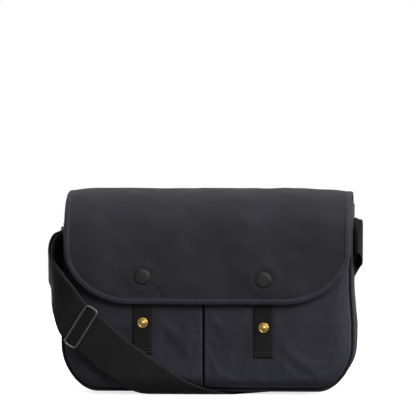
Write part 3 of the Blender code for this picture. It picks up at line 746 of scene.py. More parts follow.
def side_fullness(y, z):
    """How far the sides of the body stand out: full low down, and drawn in softly beside the flap."""
    middle = (FRONT_Y + BACK_Y) / 2
    across = np.clip(1 - ((y - middle) / 0.046) ** 2, 0.0, 1.0)
    full = 0.0024 * across ** 0.7 * ramp(z, 0.004, 0.035) * (1 - ramp(z, 0.080, 0.055))
    fold = bell(y - middle + 0.006 * np.sin(z * 30), 0.016)
    drawn = 0.0026 * fold * ramp(z, 0.105, 0.04) * (1 - ramp(z, 0.140, 0.04))
    creases = 0.0007 * np.sin((y - 0.2 * z) * 260) * across * ramp(z, 0.02, 0.03)
    return full - drawn + creases * (1 - ramp(z, 0.115, 0.03))


def make_front():
    heights = panel_heights(SEAM_INSET, MOUTH_FRONT_Z - 0.001)
    share = np.linspace(-1.0, 1.0, 73)
    x = half_width(heights, SEAM_INSET)[:, None] * share[None, :]
    z = np.broadcast_to(heights[:, None], x.shape)
    give = smoothstep((1 - np.abs(share)) / 0.25)[None, :] * ramp(z, 0.012, 0.04)
    y = FRONT_Y + 0.0005 * give * soft_waves(x, z, 0.07, 11)
    piece = cloth("front_cloth", np.stack([x, y, z], axis=-1), FABRIC, NAVY)
    dress(piece, "bag", "navy_fabric", "front_panel")


def back_surface(x, z):
    middle = np.maximum(0.0, 1 - (x / HALF_WIDTH) ** 2)
    fullness = middle * np.sin(pi * np.clip((z - BASE_Z) / 0.235, 0.0, 1.0))
    soft = 0.0011 * soft_waves(x, z, 0.10, 23) + 0.0005 * soft_waves(x, z * 0.6, 0.035, 24)
    low = bell(z - 0.045, 0.03) * ramp(np.abs(x), 0.05, 0.08)
    return BACK_Y + BACK_BULGE * fullness + fullness ** 0.6 * soft + 0.0022 * low * fullness ** 0.5


def make_back():
    heights = panel_heights(SEAM_INSET, BACK_TOP_Z, spacing=0.003)
    share = np.linspace(1.0, -1.0, 121)
    x = half_width(heights, SEAM_INSET)[:, None] * share[None, :]
    z = np.broadcast_to(heights[:, None], x.shape)
    grid = np.stack([x, back_surface(x, z), z], axis=-1)
    worn = 0.5 * ramp(np.abs(share), 0.94, 0.06)
    piece = cloth("back_cloth", grid, FABRIC, NAVY, wear=worn)
    dress(piece, "bag", "navy_fabric", "back_panel")


def make_gusset():
    """One strip up both sides and across the base, drawn in softly at the sides."""
    ends = outline(0.0, 1.0)
    turn_z = BASE_Z + CORNER_Z
    front, back = FRONT_Y + 0.0006, BACK_Y - 0.0040
    y = np.linspace(front, back, 33)[None, :]
    x, z = ends[:, :1], ends[:, 1:]
    marks = np.unique(np.concatenate([
        np.nonzero(z[:, 0] <= turn_z)[0],
        np.nonzero((z[:, 0] > turn_z) & (np.arange(len(z)) % 4 == 0))[0], [0, len(z) - 1],
    ]))
    x, z = x[marks], z[marks]
    top = mouth_z(y) - 0.001
    z = np.where(z <= turn_z, z + 0 * y, turn_z + (z - turn_z) / (1.0 - turn_z) * (top - turn_z))
    edges = smoothstep((y - front) / 0.012) * smoothstep((back - y) / 0.012)
    soft = 0.0005 * edges * smoothstep((0.145 - z) / 0.03) * soft_waves(y * 1.6, z, 0.045, 31)
    outward = side_fullness(y, z) + soft
    wide = np.where(z > turn_z, HALF_WIDTH + side_sag(z), np.abs(x))
    x = np.sign(x) * (wide + outward * ramp(np.abs(x), 0.12, 0.04))
    grid = np.stack([x, y + 0 * z, z], axis=-1)
    worn = bell(np.abs(x) - 0.15, 0.02) * 0.7
    # The gusset gets the paler copy of the navy cloth, with its painted light.
    piece = cloth("gusset_cloth", grid, FABRIC, LIT_GUSSET_NAVY, wear=worn)
    dress(piece, "bag", "navy_fabric", "gusset")


def piping_profile(radius, flange_at, flange=0.0062, thickness=0.0008, sides=14):
    """A cord in a strip of cloth: a circle with a flat flange that goes into the seam."""
    low, high = flange_at - thickness / 2, flange_at + thickness / 2
    angles = np.linspace(np.arcsin(low / radius), np.arcsin(high / radius) - 2 * pi, sides)
    circle = [(radius * cos(angle), radius * sin(angle)) for angle in angles]
    return circle + [(flange * 0.6, high), (flange, high), (flange, low), (flange * 0.6, low)]


def make_piping():
    for name, node, y, top, flange_at in (
        ("front_piping_cord", "front_piping", FRONT_Y - 0.0022, MOUTH_FRONT_Z - 0.002, 0.0011),
        ("back_piping_cord", "back_piping", BACK_Y - 0.0012, 0.2330, -0.0013),
    ):
        spots = outline(PIPING_INSET, top, spacing=0.0025)
        line = np.stack([spots[:, 0], np.full(len(spots), y), spots[:, 1]], axis=-1)
        line[:, 1] += 0.0002 * np.sin(np.arange(len(line)) * 0.9) * np.sin(np.arange(len(line)) * 0.23)
        along = tangents(line)
        side = unit(np.cross(along, [0.0, 1.0, 0.0]))
        profile = piping_profile(PIPING_RADIUS, flange_at)
        piece = swept(name, line, side, unit(np.cross(side, along)), profile, TAPE)
        dress(piece, "bag", "navy_binding", node)


def lining_ring(count):
    """The lining seen from above, from -1 to 1 across and in metres front to back, with round corners."""
    middle, deep = (LINING_FRONT_Y + LINING_BACK_Y) / 2, (LINING_BACK_Y - LINING_FRONT_Y) / 2
    ring = []
    for k in range(count * 8):
        angle = 2 * pi * k / (count * 8)
        across, along = cos(angle), sin(angle)
        reach = (abs(across) ** 9 + abs(along) ** 9) ** (-1 / 9)
        ring.append((across * reach * HALF_WIDTH, middle + deep * along * reach))
    travelled = lengths_along(np.array(ring + ring[:1]))
    marks = np.linspace(0.0, travelled[-1], count, endpoint=False)
    spots = np.array(ring + ring[:1])
    x, y = (np.interp(marks, travelled, spots[:, k]) for k in (0, 1))
    return x / HALF_WIDTH, y


def make_body_lining():
    """An open tub of thin cloth inside the panels and the gusset."""
    across, ring_y = lining_ring(168)
    shares = np.concatenate([[0.0, 0.0, 0.0, 0.0], [0.004, 0.012, 0.03], np.linspace(0.055, 1.0, 46)])
    scales = np.concatenate([[0.04, 0.35, 0.7, 0.93], [0.975, 0.993, 1.0], np.ones(46)])
    middle = (LINING_FRONT_Y + LINING_BACK_Y) / 2
    rows = []
    for share, scale in zip(shares, scales):
        z = LINING_BASE_Z + share * (mouth_z(ring_y) - 0.002 - LINING_BASE_Z)
        give = sin(pi * min(share, 1.0)) ** 0.7 if share else 0.0
        drawn = np.maximum(-side_fullness(ring_y, z), 0.0) * ramp(np.abs(across), 0.9, 0.08)
        x = across * half_width(z + 0.0005, LINING_IN) * scale
        inward = drawn + 0.0016 * give * (1 + soft_waves(x * 1.3, z + ring_y, 0.055, 41)) / 2
        at_side = ramp(np.abs(across), 0.93, 0.05)
        x = x - np.sign(across) * inward * at_side
        y = middle + (ring_y - middle) * scale
        y = y - np.sign(ring_y - middle) * inward * (1 - at_side) * (share > 0)
        rows.append(np.stack([x, y, z], axis=-1))
    outer = np.array(rows)
    loop = np.concatenate([outer, outer[:, :1]], axis=1)
    inner = outer - grid_normals(loop)[:, :-1] * LINING
    whole = np.concatenate([outer, inner[::-1]])
    around = lengths_along(np.swapaxes(loop, 0, 1)).T
    around = np.concatenate([around, around[::-1]])
    down = lengths_along(whole)
    uv = np.stack([around, np.concatenate([down, down[:, :1]], axis=1)], axis=-1)
    piece = skin("body_lining_cloth", whole, uv, LINING_CLOTH, wear=np.zeros(whole.shape[:2]))
    dress(piece, "bag", "lining_fabric", "lining")


def folded_tape(width, stack, thickness=0.0005, dome=0.0005):
    """A tape's profile, folded over an edge: (0, 0) is the edge's outer face, and the stack lies under it."""
    over = [
        (-width, 0.0003), (-width + 0.0004, 0.0006), (-width * 0.72, 0.0006 + dome * 0.8),
        (-width * 0.45, 0.0006 + dome), (-width * 0.22, 0.0005 + dome * 0.5), (-0.0005, 0.0002),
        (0.0, -stack * 0.3),
    ]
    under = [(s, -stack - n) for s, n in reversed(over)]
    outer = evenly(smooth_line(over + under, 4), width / 14)
    way = tangents(outer)
    inner = outer - np.stack([-way[:, 1], way[:, 0]], axis=-1) * thickness
    return np.concatenate([outer, inner[::-1]])


def make_mouth_tape():
    across, lining_y = lining_ring(220)
    front, back = FRONT_Y + 0.0010, BACK_Y - 0.0046
    y = np.interp(lining_y, (LINING_FRONT_Y, LINING_BACK_Y), (front, back))
    line = np.stack([across * (HALF_WIDTH - LINING_IN + 0.001), y, mouth_z(y) + 0.0016], axis=-1)
    line[:, 2] += 0.0003 * soft_waves(line[:, 0], line[:, 1], 0.03, 51)
    along = tangents(line, closed=True)
    up = np.tile([0.0, 0.0, 1.0], (len(line), 1))
    out = unit(np.cross(along, up)) * -1.0
    stack = 0.0028
    profile = folded_tape(MOUTH_TAPE_WIDTH, stack)
    profile = np.stack([profile[:, 0], profile[:, 1] + stack / 2], axis=-1)
    worn = bell(profile[:, 0], 0.0025)[None, :]
    piece = swept("mouth_tape", line, up, out, profile, TAPE, closed=True, wear=worn)
    dress(piece, "bag", "navy_binding", "mouth_binding")
    low = line - up * 0.0072
    seam = stitches("mouth_stitching", [
        (low + out * (stack / 2 + 0.0009), out), (low - out * (stack / 2 + 0.0009), -out),
    ], NAVY_THREAD)
    dress(seam, "bag", "navy_binding")


# ---------------------------------------------------------------- pockets and tabs

POCKET_SEEDS = {"left": 61, "right": 67}


def pocket_surface(x, z):
    """The pockets' outer side: full in the middle, and drawn in to the seams round them."""
    outer = (half_width(z, SEAM_INSET) - np.abs(x)) / POCKET_ROUND
    inner = (np.abs(x - POCKET_SPLIT_X) - POCKET_SPLIT) / POCKET_SPLIT_ROUND
    side = 1 - np.clip(np.minimum(outer, inner), 0.0, 1.0)
    foot = 1 - np.clip((z - BASE_Z - SEAM_INSET) / POCKET_FOOT, 0.0, 1.0)
    rise = np.clip((z - 0.09) / (POCKET_TOP_Z - 0.09), 0.0, 1.0)
    depth = POCKET_DEPTH + (POCKET_TOP_DEPTH - POCKET_DEPTH) * rise
    shape = np.sqrt(np.maximum(0.0, 1 - side ** 2.4)) * np.sqrt(np.maximum(0.0, 1 - foot ** 2.2))
    return POCKET_SEAM_Y - depth * shape


def pocket_slack(x, z, tab):
    """Where the pocket's cloth is free to move: away from its seams, its tab and its hem."""
    edge = np.minimum(half_width(z, SEAM_INSET) - np.abs(x), np.abs(x - POCKET_SPLIT_X) - POCKET_SPLIT)
    free = smoothstep(edge / 0.016) * ramp(z - BASE_Z, SEAM_INSET, 0.014)
    free = free * smoothstep((POCKET_TOP_Z - z) / 0.02)
    beside_tab = smoothstep((np.abs(x - TAB_X[tab]) - TAB_WIDTH / 2 - 0.001) / 0.010)
    below_tab = smoothstep((TAB_BOTTOM_Z[tab] - 0.002 - z) / 0.012)
    return free * np.maximum(beside_tab, below_tab)


def make_pocket(side_name, sign):
    heights = panel_heights(SEAM_INSET, POCKET_TOP_Z, corner_steps=24, spacing=0.0022)
    share = 0.5 - 0.5 * np.cos(pi * np.linspace(0.0, 1.0, 73))
    start = POCKET_SPLIT_X + sign * POCKET_SPLIT
    wide = half_width(heights, SEAM_INSET)[:, None]
    x = start + (sign * wide - start) * share[None, :]
    z = np.broadcast_to(heights[:, None], x.shape)
    slack = pocket_slack(x, z, side_name)
    soft = 0.0005 * soft_waves(x * 1.4, z * 0.7, 0.055, POCKET_SEEDS[side_name])
    grid = np.stack([x, pocket_surface(x, z) - slack * (soft + 0.0003), z], axis=-1)
    edge = np.minimum(1 - share, share)[None, :] * np.abs(sign * wide - start)
    worn = np.maximum(bell(edge, 0.004), bell(z - 0.02, 0.008) * 0.6)
    if sign < 0:
        grid, slack, worn = grid[:, ::-1], slack[:, ::-1], worn[:, ::-1]
    grid = draped(grid, slack, growth=0.009, outward=0.0014, inward=0.0005)
    piece = cloth(f"pocket_cloth_{side_name}", grid, FABRIC, NAVY, wear=worn)
    dress(piece, "bag", "navy_fabric", f"pocket_{side_name}")
    make_pocket_hem(side_name, sign)
    make_pocket_seams(side_name, sign)


def make_pocket_hem(side_name, sign):
    share = 0.5 - 0.5 * np.cos(pi * np.linspace(0.012, 0.988, 90))
    start = POCKET_SPLIT_X + sign * POCKET_SPLIT
    x = start + (sign * (HALF_WIDTH - SEAM_INSET) - start) * share
    y = pocket_surface(x, np.full_like(x, POCKET_TOP_Z))
    line = np.stack([x, y, np.full_like(x, POCKET_TOP_Z + 0.0024)], axis=-1)
    if sign < 0:
        line = line[::-1]
    up = np.tile([0.0, 0.0, 1.0], (len(line), 1))
    out = unit(np.cross(tangents(line), up))
    profile = folded_tape(POCKET_TAPE_WIDTH, FABRIC + 0.0003, dome=0.0003)
    worn = bell(profile[:, 0], 0.0025)[None, :]
    piece = swept(f"pocket_tape_{side_name}", line, up, out, profile, TAPE, wear=worn)
    dress(piece, "bag", "navy_binding", f"pocket_hem_{side_name}")
    low = line - up * 0.0088 + out * 0.0008
    seam = stitches(f"pocket_tape_stitching_{side_name}", [(low, out)], NAVY_THREAD)
    dress(seam, "bag", "navy_binding")


def make_pocket_seams(side_name, sign):
    """Top stitching just inside the pocket's side and base seams."""
    spots = outline(SEAM_INSET + 0.0030, POCKET_TOP_Z - 0.012, spacing=0.003)
    spots = spots[(spots[:, 0] - POCKET_SPLIT_X) * sign > POCKET_SPLIT + 0.004]
    y = pocket_surface(spots[:, 0], spots[:, 1])
    slope = (pocket_surface(spots[:, 0] * 0.99, spots[:, 1]) - y) / (spots[:, 0] * -0.01)
    line = np.stack([spots[:, 0], y - 0.0001, spots[:, 1]], axis=-1)
    rise = (pocket_surface(spots[:, 0], spots[:, 1] + 0.001) - y) / 0.001
    out = unit(np.stack([slope, -np.ones_like(y), rise], axis=-1))
    seam = stitches(f"pocket_stitching_{side_name}", [(line, out)], NAVY_THREAD)
    dress(seam, "bag", "navy_fabric")


def tab_surface(side_name, z):
    return pocket_surface(np.full_like(z, TAB_X[side_name]), z) - 0.0005


def make_tab(side_name):
    middle, low = TAB_X[side_name], TAB_BOTTOM_Z[side_name]
    heights = np.linspace(low, POCKET_TOP_Z - 0.001, 58)
    share = np.linspace(-0.5, 0.5, 15)
    x = middle + TAB_WIDTH * share[None, :] + 0 * heights[:, None]
    ripple = 0.0002 * soft_waves(x, heights[:, None], 0.03, 71) * (1 - 4 * share ** 2)
    y = tab_surface(side_name, heights)[:, None] + ripple
    grid = np.stack([x, y, heights[:, None] + 0 * x], axis=-1)
    thick = TAB_THICKNESS * (1 - 0.45 * ramp(np.abs(share), 0.42, 0.08))
    worn = 0.6 * ramp(np.abs(share), 0.40, 0.10)
    piece = cloth(f"tab_webbing_{side_name}", grid, thick[None, :], BLACK_WEB, side=1.0, wear=worn)
    dress(piece, "bag", "black_webbing", f"tab_{side_name}")
    lines = []
    left, right, near, far = middle - 0.0102, middle + 0.0102, low + 0.0022, low + 0.0062
    for corners in (
        [(left, near), (right, near)], [(left, far), (right, far)],
        [(left, near), (left, far)], [(right, near), (right, far)],
    ):
        spots = evenly(np.array(corners), 0.001)
        face = tab_surface(side_name, spots[:, 1]) - TAB_THICKNESS - 0.0001
        line = np.stack([spots[:, 0], face, spots[:, 1]], axis=-1)
        lines.append((line, np.tile([0.0, -1.0, 0.0], (len(line), 1))))
    seam = stitches(f"tab_stitching_{side_name}", lines, BLACK_THREAD, length=0.0022, pitch=0.0030)
    dress(seam, "bag", "black_webbing")


STUD = [
    (0.0, 0.0044), (0.0008, 0.0044), (0.0017, 0.0042), (0.0024, 0.0036), (0.0027, 0.0028),
    (0.0025, 0.0020), (0.0023, 0.0010), (0.0027, 0.0004), (0.0036, 0.0004), (0.0044, 0.0008),
    (0.0051, 0.0014), (0.0058, 0.0015), (0.0063, 0.0011), (0.0065, 0.0006), (0.0064, 0.0001),
    (0.0060, 0.0), (0.0030, 0.0), (0.0, 0.0),
]
CAP = [
    (0.0, 0.0022), (0.0030, 0.0022), (0.0055, 0.0021), (0.0068, 0.0020), (0.0075, 0.0019), (0.0083, 0.0018),
    (0.0090, 0.0014), (0.0095, 0.0009), (0.0098, 0.0003), (0.0097, 0.0), (0.0090, -0.0001), (0.0045, 0.0),
    (0.0, 0.0),
]


def cap_relief(radius, angle):
    """A fine rayed ring between two plain circles, pressed into the cap's face."""
    rays = 0.00016 * np.cos(28 * angle) * bell(radius - 0.0052, 0.0010)
    circles = -0.00020 * (bell(radius - 0.0034, 0.0003) + bell(radius - 0.0074, 0.0003))
    return (rays + circles) * (radius < 0.0078)


def make_studs(side_name):
    for level, heights in STUD_Z.items():
        z = heights[side_name]
        on_tab = float(tab_surface(side_name, np.array(z))) - TAB_THICKNESS
        piece = turned(f"stud_face_{level}_{side_name}", STUD, (TAB_X[side_name], on_tab - 0.0007, z), BRASS)
        dress(piece, "bag", "brass", f"stud_{level}_{side_name}")


# ---------------------------------------------------------------- flap

FLAP_LINE = evenly(smooth_line(FLAP_SECTION, 12), 0.0010)
FLAP_MARKS = lengths_along(FLAP_LINE)
FLAP_LENGTH = FLAP_MARKS[-1]
FLAP_WAY = tangents(FLAP_LINE)


def flap_along(z):
    """Length down the flap's section at a height on the front."""
    front = FLAP_LINE[:, 0] < FRONT_Y
    order = np.argsort(FLAP_LINE[front, 1])
    return float(np.interp(z, FLAP_LINE[front, 1][order], FLAP_MARKS[front][order]))


CAP_SPOTS = [(TAB_X[side_name], flap_along(STUD_Z["upper"][side_name])) for side_name in ("left", "right")]
CREASE_RADIUS = 0.0138
CREASE_CENTRE = (CAP_SPOTS[0][0] + 0.0092, CAP_SPOTS[0][1] + 0.0243)


def flap_relief(along, x):
    """How far the flap's cloth stands out from its plain section."""
    soft = 0.0008 * soft_waves(x, along, 0.11, 81) + 0.00032 * soft_waves(x, along, 0.032, 82)
    near_seam = ramp(along, 0.02, 0.03)
    relief = soft * near_seam
    for cap_x, cap_along in CAP_SPOTS:
        away = np.hypot(x - cap_x, along - cap_along)
        relief = relief * ramp(away, 0.008, 0.014)
        relief = relief + 0.0007 * bell(away - 0.0165, 0.0055) - 0.0003 * bell(away, 0.009)
    dx, down = x - CREASE_CENTRE[0], CREASE_CENTRE[1] - along
    away, turn = np.hypot(dx, down), np.arctan2(down, dx)
    window = smoothstep((turn + 0.25) / 0.35) * smoothstep((1.65 - turn) / 0.35)
    relief = relief - 0.0007 * window * bell(away - CREASE_RADIUS, 0.0012)
    relief = relief + 0.0003 * window * bell(away - CREASE_RADIUS - 0.0032, 0.0030)
    return relief


def flap_place(along, x, drop=0.0):
    """Points of the flap and its outward normals, set in by drop from its outer side."""
    y, z, way_y, way_z = (
        np.interp(along, FLAP_MARKS, column) for column in (*FLAP_LINE.T, *FLAP_WAY.T)
    )
    normal = unit(np.stack([0 * x, way_z, -way_y], axis=-1))
    share = np.abs(x) / HALF_WIDTH
    crown = (0.0008 * share ** 2 + 0.0036 * share ** 8 - 0.0007) * ramp(z, 0.20, 0.045)
    spot = np.stack([x, y + 0 * x, z - crown], axis=-1)
    return spot + normal * (flap_relief(along, x) - drop)[..., None], normal


def flap_rows(inset, start=0.0, spacing=0.003, corner_steps=40):
    """Lengths down the flap and half its width there, with an even turn round the lower corners."""
    straight = np.arange(start, FLAP_LENGTH - FLAP_CORNER_Z, spacing)
    angles = np.linspace(0.0, pi / 2, corner_steps + 1)
    turn = FLAP_LENGTH - FLAP_CORNER_Z + (FLAP_CORNER_Z - inset) * np.sin(angles)
    wide = HALF_WIDTH - FLAP_CORNER_X + (FLAP_CORNER_X - inset) * np.cos(angles)
    wide = np.concatenate([np.full(len(straight), HALF_WIDTH - inset), wide])
    return np.concatenate([straight, turn]), wide


def flap_grid(inset, drop, start=0.0):
    along, wide = flap_rows(inset, start)
    x = wide[:, None] * np.linspace(1.0, -1.0, 121)[None, :]
    return flap_place(along[:, None] + 0 * x, x, drop)[0]


def flap_outline(inset):
    """The flap's edge from the back seam on the left, round the front, to the back seam on the right."""
    along, wide = flap_rows(inset, spacing=0.002)
    side = np.stack([along, wide], axis=-1)
    across = np.linspace(wide[-1], -wide[-1], 90)[1:-1]
    base = np.stack([np.full(len(across), along[-1]), across], axis=-1)
    left = side * (1, -1)
    whole = np.concatenate([left, base[::-1], side[::-1]])
    return evenly(whole, 0.0018)


def make_flap():
    edge = 0.0014
    grid = flap_grid(edge, 0.0)
    # The flap gets the darker copy of the navy cloth, with its painted shade.
    piece = cloth("flap_cloth", grid, FLAP_SKIN, SHADED_FLAP_NAVY)
    dress(piece, None, "navy_fabric", "flap_outer", "flap_root")
    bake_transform(piece)
    grid = flap_grid(edge, FLAP_LINING_DROP, start=FLAP_LINING_FROM)
    piece = cloth("flap_lining_cloth", grid, LINING, LINING_CLOTH)
    dress(piece, None, "lining_fabric", "flap_lining")
    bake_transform(piece)
    make_flap_tape()


def make_flap_tape():
    edge = flap_outline(0.0006)
    line, out = flap_place(edge[:, 0], edge[:, 1])
    along = tangents(line)
    side = unit(np.cross(along, out))
    side = side * np.sign((side * (line - np.array([0.0, -0.0615, 0.17]))).sum(axis=1))[:, None]
    travelled = lengths_along(line)
    bend = smoothstep(1 - np.abs(edge[:, 0] - FLAP_LENGTH + 0.03) / 0.045)
    uneven = 0.6 + 0.4 * np.sin(travelled / 0.031 * 2 * pi)
    swell = 1 + bend * 0.16 * np.sin(travelled / 0.0042 * 2 * pi) * uneven
    swell = swell + 0.06 * np.sin(travelled / 0.011 * 2 * pi)
    profile = folded_tape(TAPE_WIDTH, FLAP_LINING_DROP + LINING)
    # The tape is paler along its folded edge, where it is rubbed, and along its domed crest, which is a
    # painted highlight where light catches the rounded tape.
    worn = (0.35 * bell(profile[:, 0] + 0.0035, 0.0018) + bell(profile[:, 0], 0.0012))[None, :]
    piece = swept("flap_tape", line, side, out, profile, TAPE, swell=swell, wear=worn)
    dress(piece, None, "navy_binding", "flap_binding")
    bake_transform(piece)
    lines = []
    for level, normal in ((0.00105, out), (-FLAP_LINING_DROP - LINING - 0.00105, -out)):
        seam = line - side * (TAPE_WIDTH - 0.0016) + out * level
        lines.append((seam, normal))
    piece = stitches("flap_stitching", lines, NAVY_THREAD)
    dress(piece, None, "navy_binding")
    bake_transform(piece)


def make_caps(side_name):
    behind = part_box(f"snap_cap_{side_name}")[1].y
    place = (TAB_X[side_name], behind, STUD_Z["upper"][side_name])
    piece = turned(f"cap_face_{side_name}", CAP, place, CAP_METAL, relief=cap_relief)
    dress(piece, "flap", "dark_metal", f"snap_cap_{side_name}")


# ---------------------------------------------------------------- strap

def web_row(middle, across, columns):
    across = unit(np.asarray(across, float))
    return np.asarray(middle, float) + across * WEB_WIDTH * np.linspace(0.5, -0.5, columns)[:, None]


def wrapped(x, down, lift):
    """A point outside the bag, stood off by lift: down the front, under the base or up the back."""
    front_centre = WEB_FRONT_Y + WEB_FRONT_BEND
    back_centre = WEB_BACK_Y - WEB_BACK_BEND
    front = WEB_TOP_Z - WEB_FLOOR_Z - WEB_FRONT_BEND
    if down < front:
        return (x, WEB_FRONT_Y - lift, WEB_TOP_Z - down)
    down -= front
    if down < WEB_FRONT_BEND * pi / 2:
        angle = down / WEB_FRONT_BEND
        reach = WEB_FRONT_BEND + lift * cos(angle)
        return (x, front_centre - reach * cos(angle), WEB_FLOOR_Z + WEB_FRONT_BEND * (1 - sin(angle)))
    down -= WEB_FRONT_BEND * pi / 2
    if down < back_centre - front_centre:
        return (x, front_centre + down, WEB_FLOOR_Z)
    down -= back_centre - front_centre
    if down < WEB_BACK_BEND * pi / 2:
        angle = down / WEB_BACK_BEND
        return (x, back_centre + WEB_BACK_BEND * sin(angle), WEB_FLOOR_Z + WEB_BACK_BEND * (1 - cos(angle)))
    return (x, WEB_BACK_Y, WEB_FLOOR_Z + WEB_BACK_BEND + down - WEB_BACK_BEND * pi / 2)


def strap_outer(columns=21):
    """Rows of points across the strap's outer layer, from the ring to its sewn end."""
    route = smooth_line(WEB_ROUTE, 4)
    travelled = lengths_along(route)
    rows = [web_row(*section, columns) for section in LEFT_LOOP]
    for i, (x, down) in enumerate(route):
        way = unit(route[min(i + 1, len(route) - 1)] - route[max(i - 1, 0)])
        row = []
        for off in WEB_WIDTH * np.linspace(0.5, -0.5, columns):
            lift = SLIDER_LIFT * (1 - ramp(travelled[i] + off * 0.25, LIFT_KEPT, LIFT_FADES))
            row.append(wrapped(x + off * way[1], down - off * way[0], lift))
        rows.append(np.array(row))
    rows += [web_row(*section, columns) for section in RIGHT_LOOP]
    return smooth_line(rows, 6)


def strap_return(outer):
    """The inner layer, from just above the slider back up to the ring."""
    count = len(outer)
    way = np.gradient(outer, axis=0)
    across = (outer[:, :1] - outer[:, -1:]) + 0 * outer
    inward = unit(np.cross(way, across))
    fade = 1 - smoothstep(np.arange(count) / (count * 0.45))
    gap = RETURN_GAP + (2 * RING_TURN - RETURN_GAP) * fade
    return (outer - inward * gap[:, None, None])[::-1]


def make_strap():
    outer = strap_outer()
    columns = outer.shape[1]
    inner = strap_return(outer[:RETURN_ROWS])
    turn = []
    for k in range(1, 14):
        angle = pi * k / 14
        middle = (RING_BAR[0] + RING_TURN * cos(angle), RING_BAR[1] + RING_TURN * sin(angle), RING_Z)
        turn.append(web_row(middle, (0, 0, 1), columns))
    grid = np.concatenate([inner, turn, outer])
    share = np.abs(np.linspace(-1, 1, columns))
    thick = WEB_THICKNESS * (1 - 0.4 * ramp(share, 0.9, 0.1))
    worn = 0.8 * ramp(share, 0.86, 0.14)
    piece = cloth("strap_webbing", grid, thick[None, :], BLACK_WEB, side=0.0, wear=worn)
    dress(piece, "bag", "black_webbing", "strap")
    return outer


def box_stitch(name, corner, across, out):
    """A sewn box with a cross in it, from its low front corner."""
    corner, across, out = (np.asarray(v, float) for v in (corner, across, out))
    up = np.array([0.0, 0.0, BOX_STITCH_HIGH])
    spots = [corner, corner + across, corner + across + up, corner + up]
    lines = []
    for a, b in ((0, 1), (1, 2), (2, 3), (3, 0), (0, 2), (1, 3)):
        line = evenly(np.array([spots[a], spots[b]]), 0.001)
        lines.append((line, np.tile(out, (len(line), 1))))
    dress(stitches(name, lines, BLACK_THREAD), "bag", "black_webbing")


def make_strap_stitching():
    right_x = RIGHT_LOOP[-1][0][0] + WEB_THICKNESS / 2 + 0.0001
    box_stitch("strap_root_stitching", (right_x, 0.0105, 0.1655), (0, 0.024, 0), (1, 0, 0))
    left_x = -HALF_WIDTH - CHAPE_OUT - CHAPE_LAYERS - CHAPE_THICKNESS / 2 - 0.0001
    low_corner = (left_x, RING_BAR[1] + RING_DEEP + 0.0165, RING_Z - BOX_STITCH_HIGH / 2)
    box_stitch("chape_stitching", low_corner, (0, 0.0185, 0), (-1, 0, 0))


def make_chape():
    """Webbing that is sewn to the left gusset and folds round the ring's rear bar."""
    bar_y = RING_BAR[1] + RING_DEEP
    turn = 0.0027
    flat_x = -HALF_WIDTH - CHAPE_OUT
    path = [(flat_x, bar_y + 0.0395), (flat_x, bar_y + 0.0255), (flat_x, bar_y + 0.0115)]
    path.append((RING_BAR[0] + turn, bar_y + 0.003))
    for k in range(7):
        angle = -pi * k / 6
        path.append((RING_BAR[0] + turn * cos(angle), bar_y + turn * sin(angle)))
    path += [(RING_BAR[0] - turn, bar_y + 0.003), (flat_x - 0.0034, bar_y + 0.0115)]
    path += [(flat_x - CHAPE_LAYERS, bar_y + 0.0255), (flat_x - CHAPE_LAYERS, bar_y + 0.0375)]
    path = smooth_line(path, 4)
    z = RING_Z + WEB_WIDTH * np.linspace(0.5, -0.5, 19)
    grid = np.stack([path[:, :1] + 0 * z, path[:, 1:] + 0 * z, z[None, :] + 0 * path[:, :1]], axis=-1)
    share = np.abs(np.linspace(-1, 1, len(z)))
    worn = 0.8 * ramp(share, 0.86, 0.14)
    piece = cloth("chape_webbing", grid, CHAPE_THICKNESS, BLACK_WEB, side=0.0, wear=worn)
    dress(piece, "bag", "black_webbing", "strap_chape")


def rounded_rectangle(half_a, half_b, corner, steps=8):
    """Points (a, b) round a rectangle with round corners."""
    points = []
    for sa, sb, start in ((1, 1, 0), (-1, 1, 90), (-1, -1, 180), (1, -1, 270)):
        for k in range(steps + 1):
            angle = radians(start + 90 * k / steps)
            a, b = corner * cos(angle), corner * sin(angle)
            points.append((sa * (half_a - corner) + a, sb * (half_b - corner) + b))
    points = np.array(points + points[:1])
    return evenly(points, 0.0012)[:-1]


def make_ring():
    middle_y = RING_BAR[1] + RING_DEEP / 2
    loop = rounded_rectangle(RING_DEEP / 2, RING_HALF_TALL, RING_CORNER)
    line = np.stack([np.full(len(loop), RING_BAR[0]), middle_y + loop[:, 0], RING_Z + loop[:, 1]], axis=-1)
    piece = wire("ring_wire", line, RING_WIRE, GUNMETAL, closed=True, up=(1, 0, 0), sides=16, squareness=2.6)
    dress(piece, "bag", "dark_metal", "strap_ring")


def on_slider(across, along, ahead):
    """A point near the slider: along its long side, along the strap, and out from the strap's middle."""
    return SLIDER_AT + SLIDER_ACROSS * across + SLIDER_ALONG * along + Vector((0.0, -ahead, 0.0))


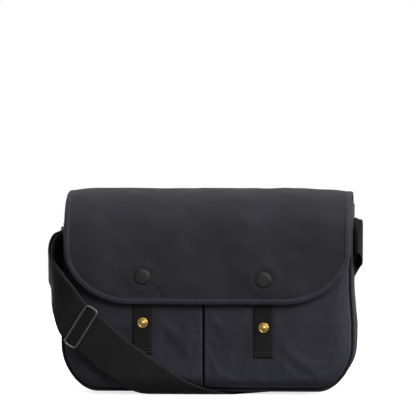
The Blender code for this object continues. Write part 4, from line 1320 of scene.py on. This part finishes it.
def make_slider():
    loop = rounded_rectangle(SLIDER_LONG / 2 - SLIDER_WIRE, SLIDER_SHORT / 2 - SLIDER_WIRE, SLIDER_CORNER)
    line = [on_slider(a, b, SLIDER_FRAME_AHEAD) for a, b in loop]
    piece = wire(
        "slider_wire", line, SLIDER_WIRE, GUNMETAL, closed=True, up=(0, -1, 0), sides=20, squareness=3.2,
    )
    dress(piece, "slider", "dark_metal", "slider_frame")
    end = SLIDER_LONG / 2 - SLIDER_WIRE
    bar = [
        (-end, SLIDER_FRAME_AHEAD - 0.0024), (-end, -0.0018), (-end + 0.0008, -0.0038),
        (-end + 0.0026, -SLIDER_BAR_BEHIND),
    ]
    bar += [(-across, ahead) for across, ahead in reversed(bar)]
    line = evenly(np.array([on_slider(a, 0.0, b) for a, b in smooth_line(bar, 6)]), 0.0008)
    piece = wire("slider_crossbar", line, SLIDER_BAR_RADIUS, GUNMETAL, up=tuple(SLIDER_ALONG), sides=16)
    dress(piece, "slider", "dark_metal", "slider_bar")


def make_strap_end():
    """The strap's own end, folded round the slider's bar behind the strap and lying back along it."""
    turn = SLIDER_BAR_RADIUS + 0.0003 + END_THICKNESS / 2
    behind = -SLIDER_BAR_BEHIND
    path = [(-0.0140, behind - turn), (-0.0060, behind - turn)]
    for k in range(13):
        angle = -pi / 2 + pi * k / 12
        path.append((turn * cos(angle), behind + turn * sin(angle)))
    path.append((-0.0022, behind + turn))
    path = evenly(np.array(path), 0.0006)
    half = WEB_WIDTH / 2 - 0.0008
    grid = np.array([[on_slider(half * t, a, b) for t in np.linspace(1, -1, 17)] for a, b in path])
    piece = cloth("strap_end_webbing", grid, END_THICKNESS, BLACK_WEB, side=0.0)
    dress(piece, "slider", "black_webbing", "strap_end")


# ---------------------------------------------------------------- putting it together

def dress(piece, body, slot, *nodes):
    """Puts a piece on its body and lets it stand for CAD nodes, which it hides. The slot is not used."""
    if nodes:
        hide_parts(*nodes)
    if body:
        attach(piece, body)


def dress_nodes():
    """Better materials on the CAD nodes that stay."""
    looks = {"base_board": BOARD}
    for side_name in ("left", "right"):
        looks[f"snap_socket_{side_name}"] = BRASS
        for level in STUD_Z:
            looks[f"stud_back_{level}_{side_name}"] = BRASS
    for name, look in looks.items():
        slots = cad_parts[name].material_slots
        for k in range(len(slots)):
            slots[k].material = look


make_camera()
make_studio()
make_front()
make_back()
make_gusset()
make_piping()
make_body_lining()
make_mouth_tape()
for side_name, sign in (("left", -1), ("right", 1)):
    make_pocket(side_name, sign)
    make_tab(side_name)
    make_studs(side_name)
    make_caps(side_name)
make_flap()
make_ring()
make_strap()
make_strap_stitching()
make_chape()
make_slider()
make_strap_end()
dress_nodes()
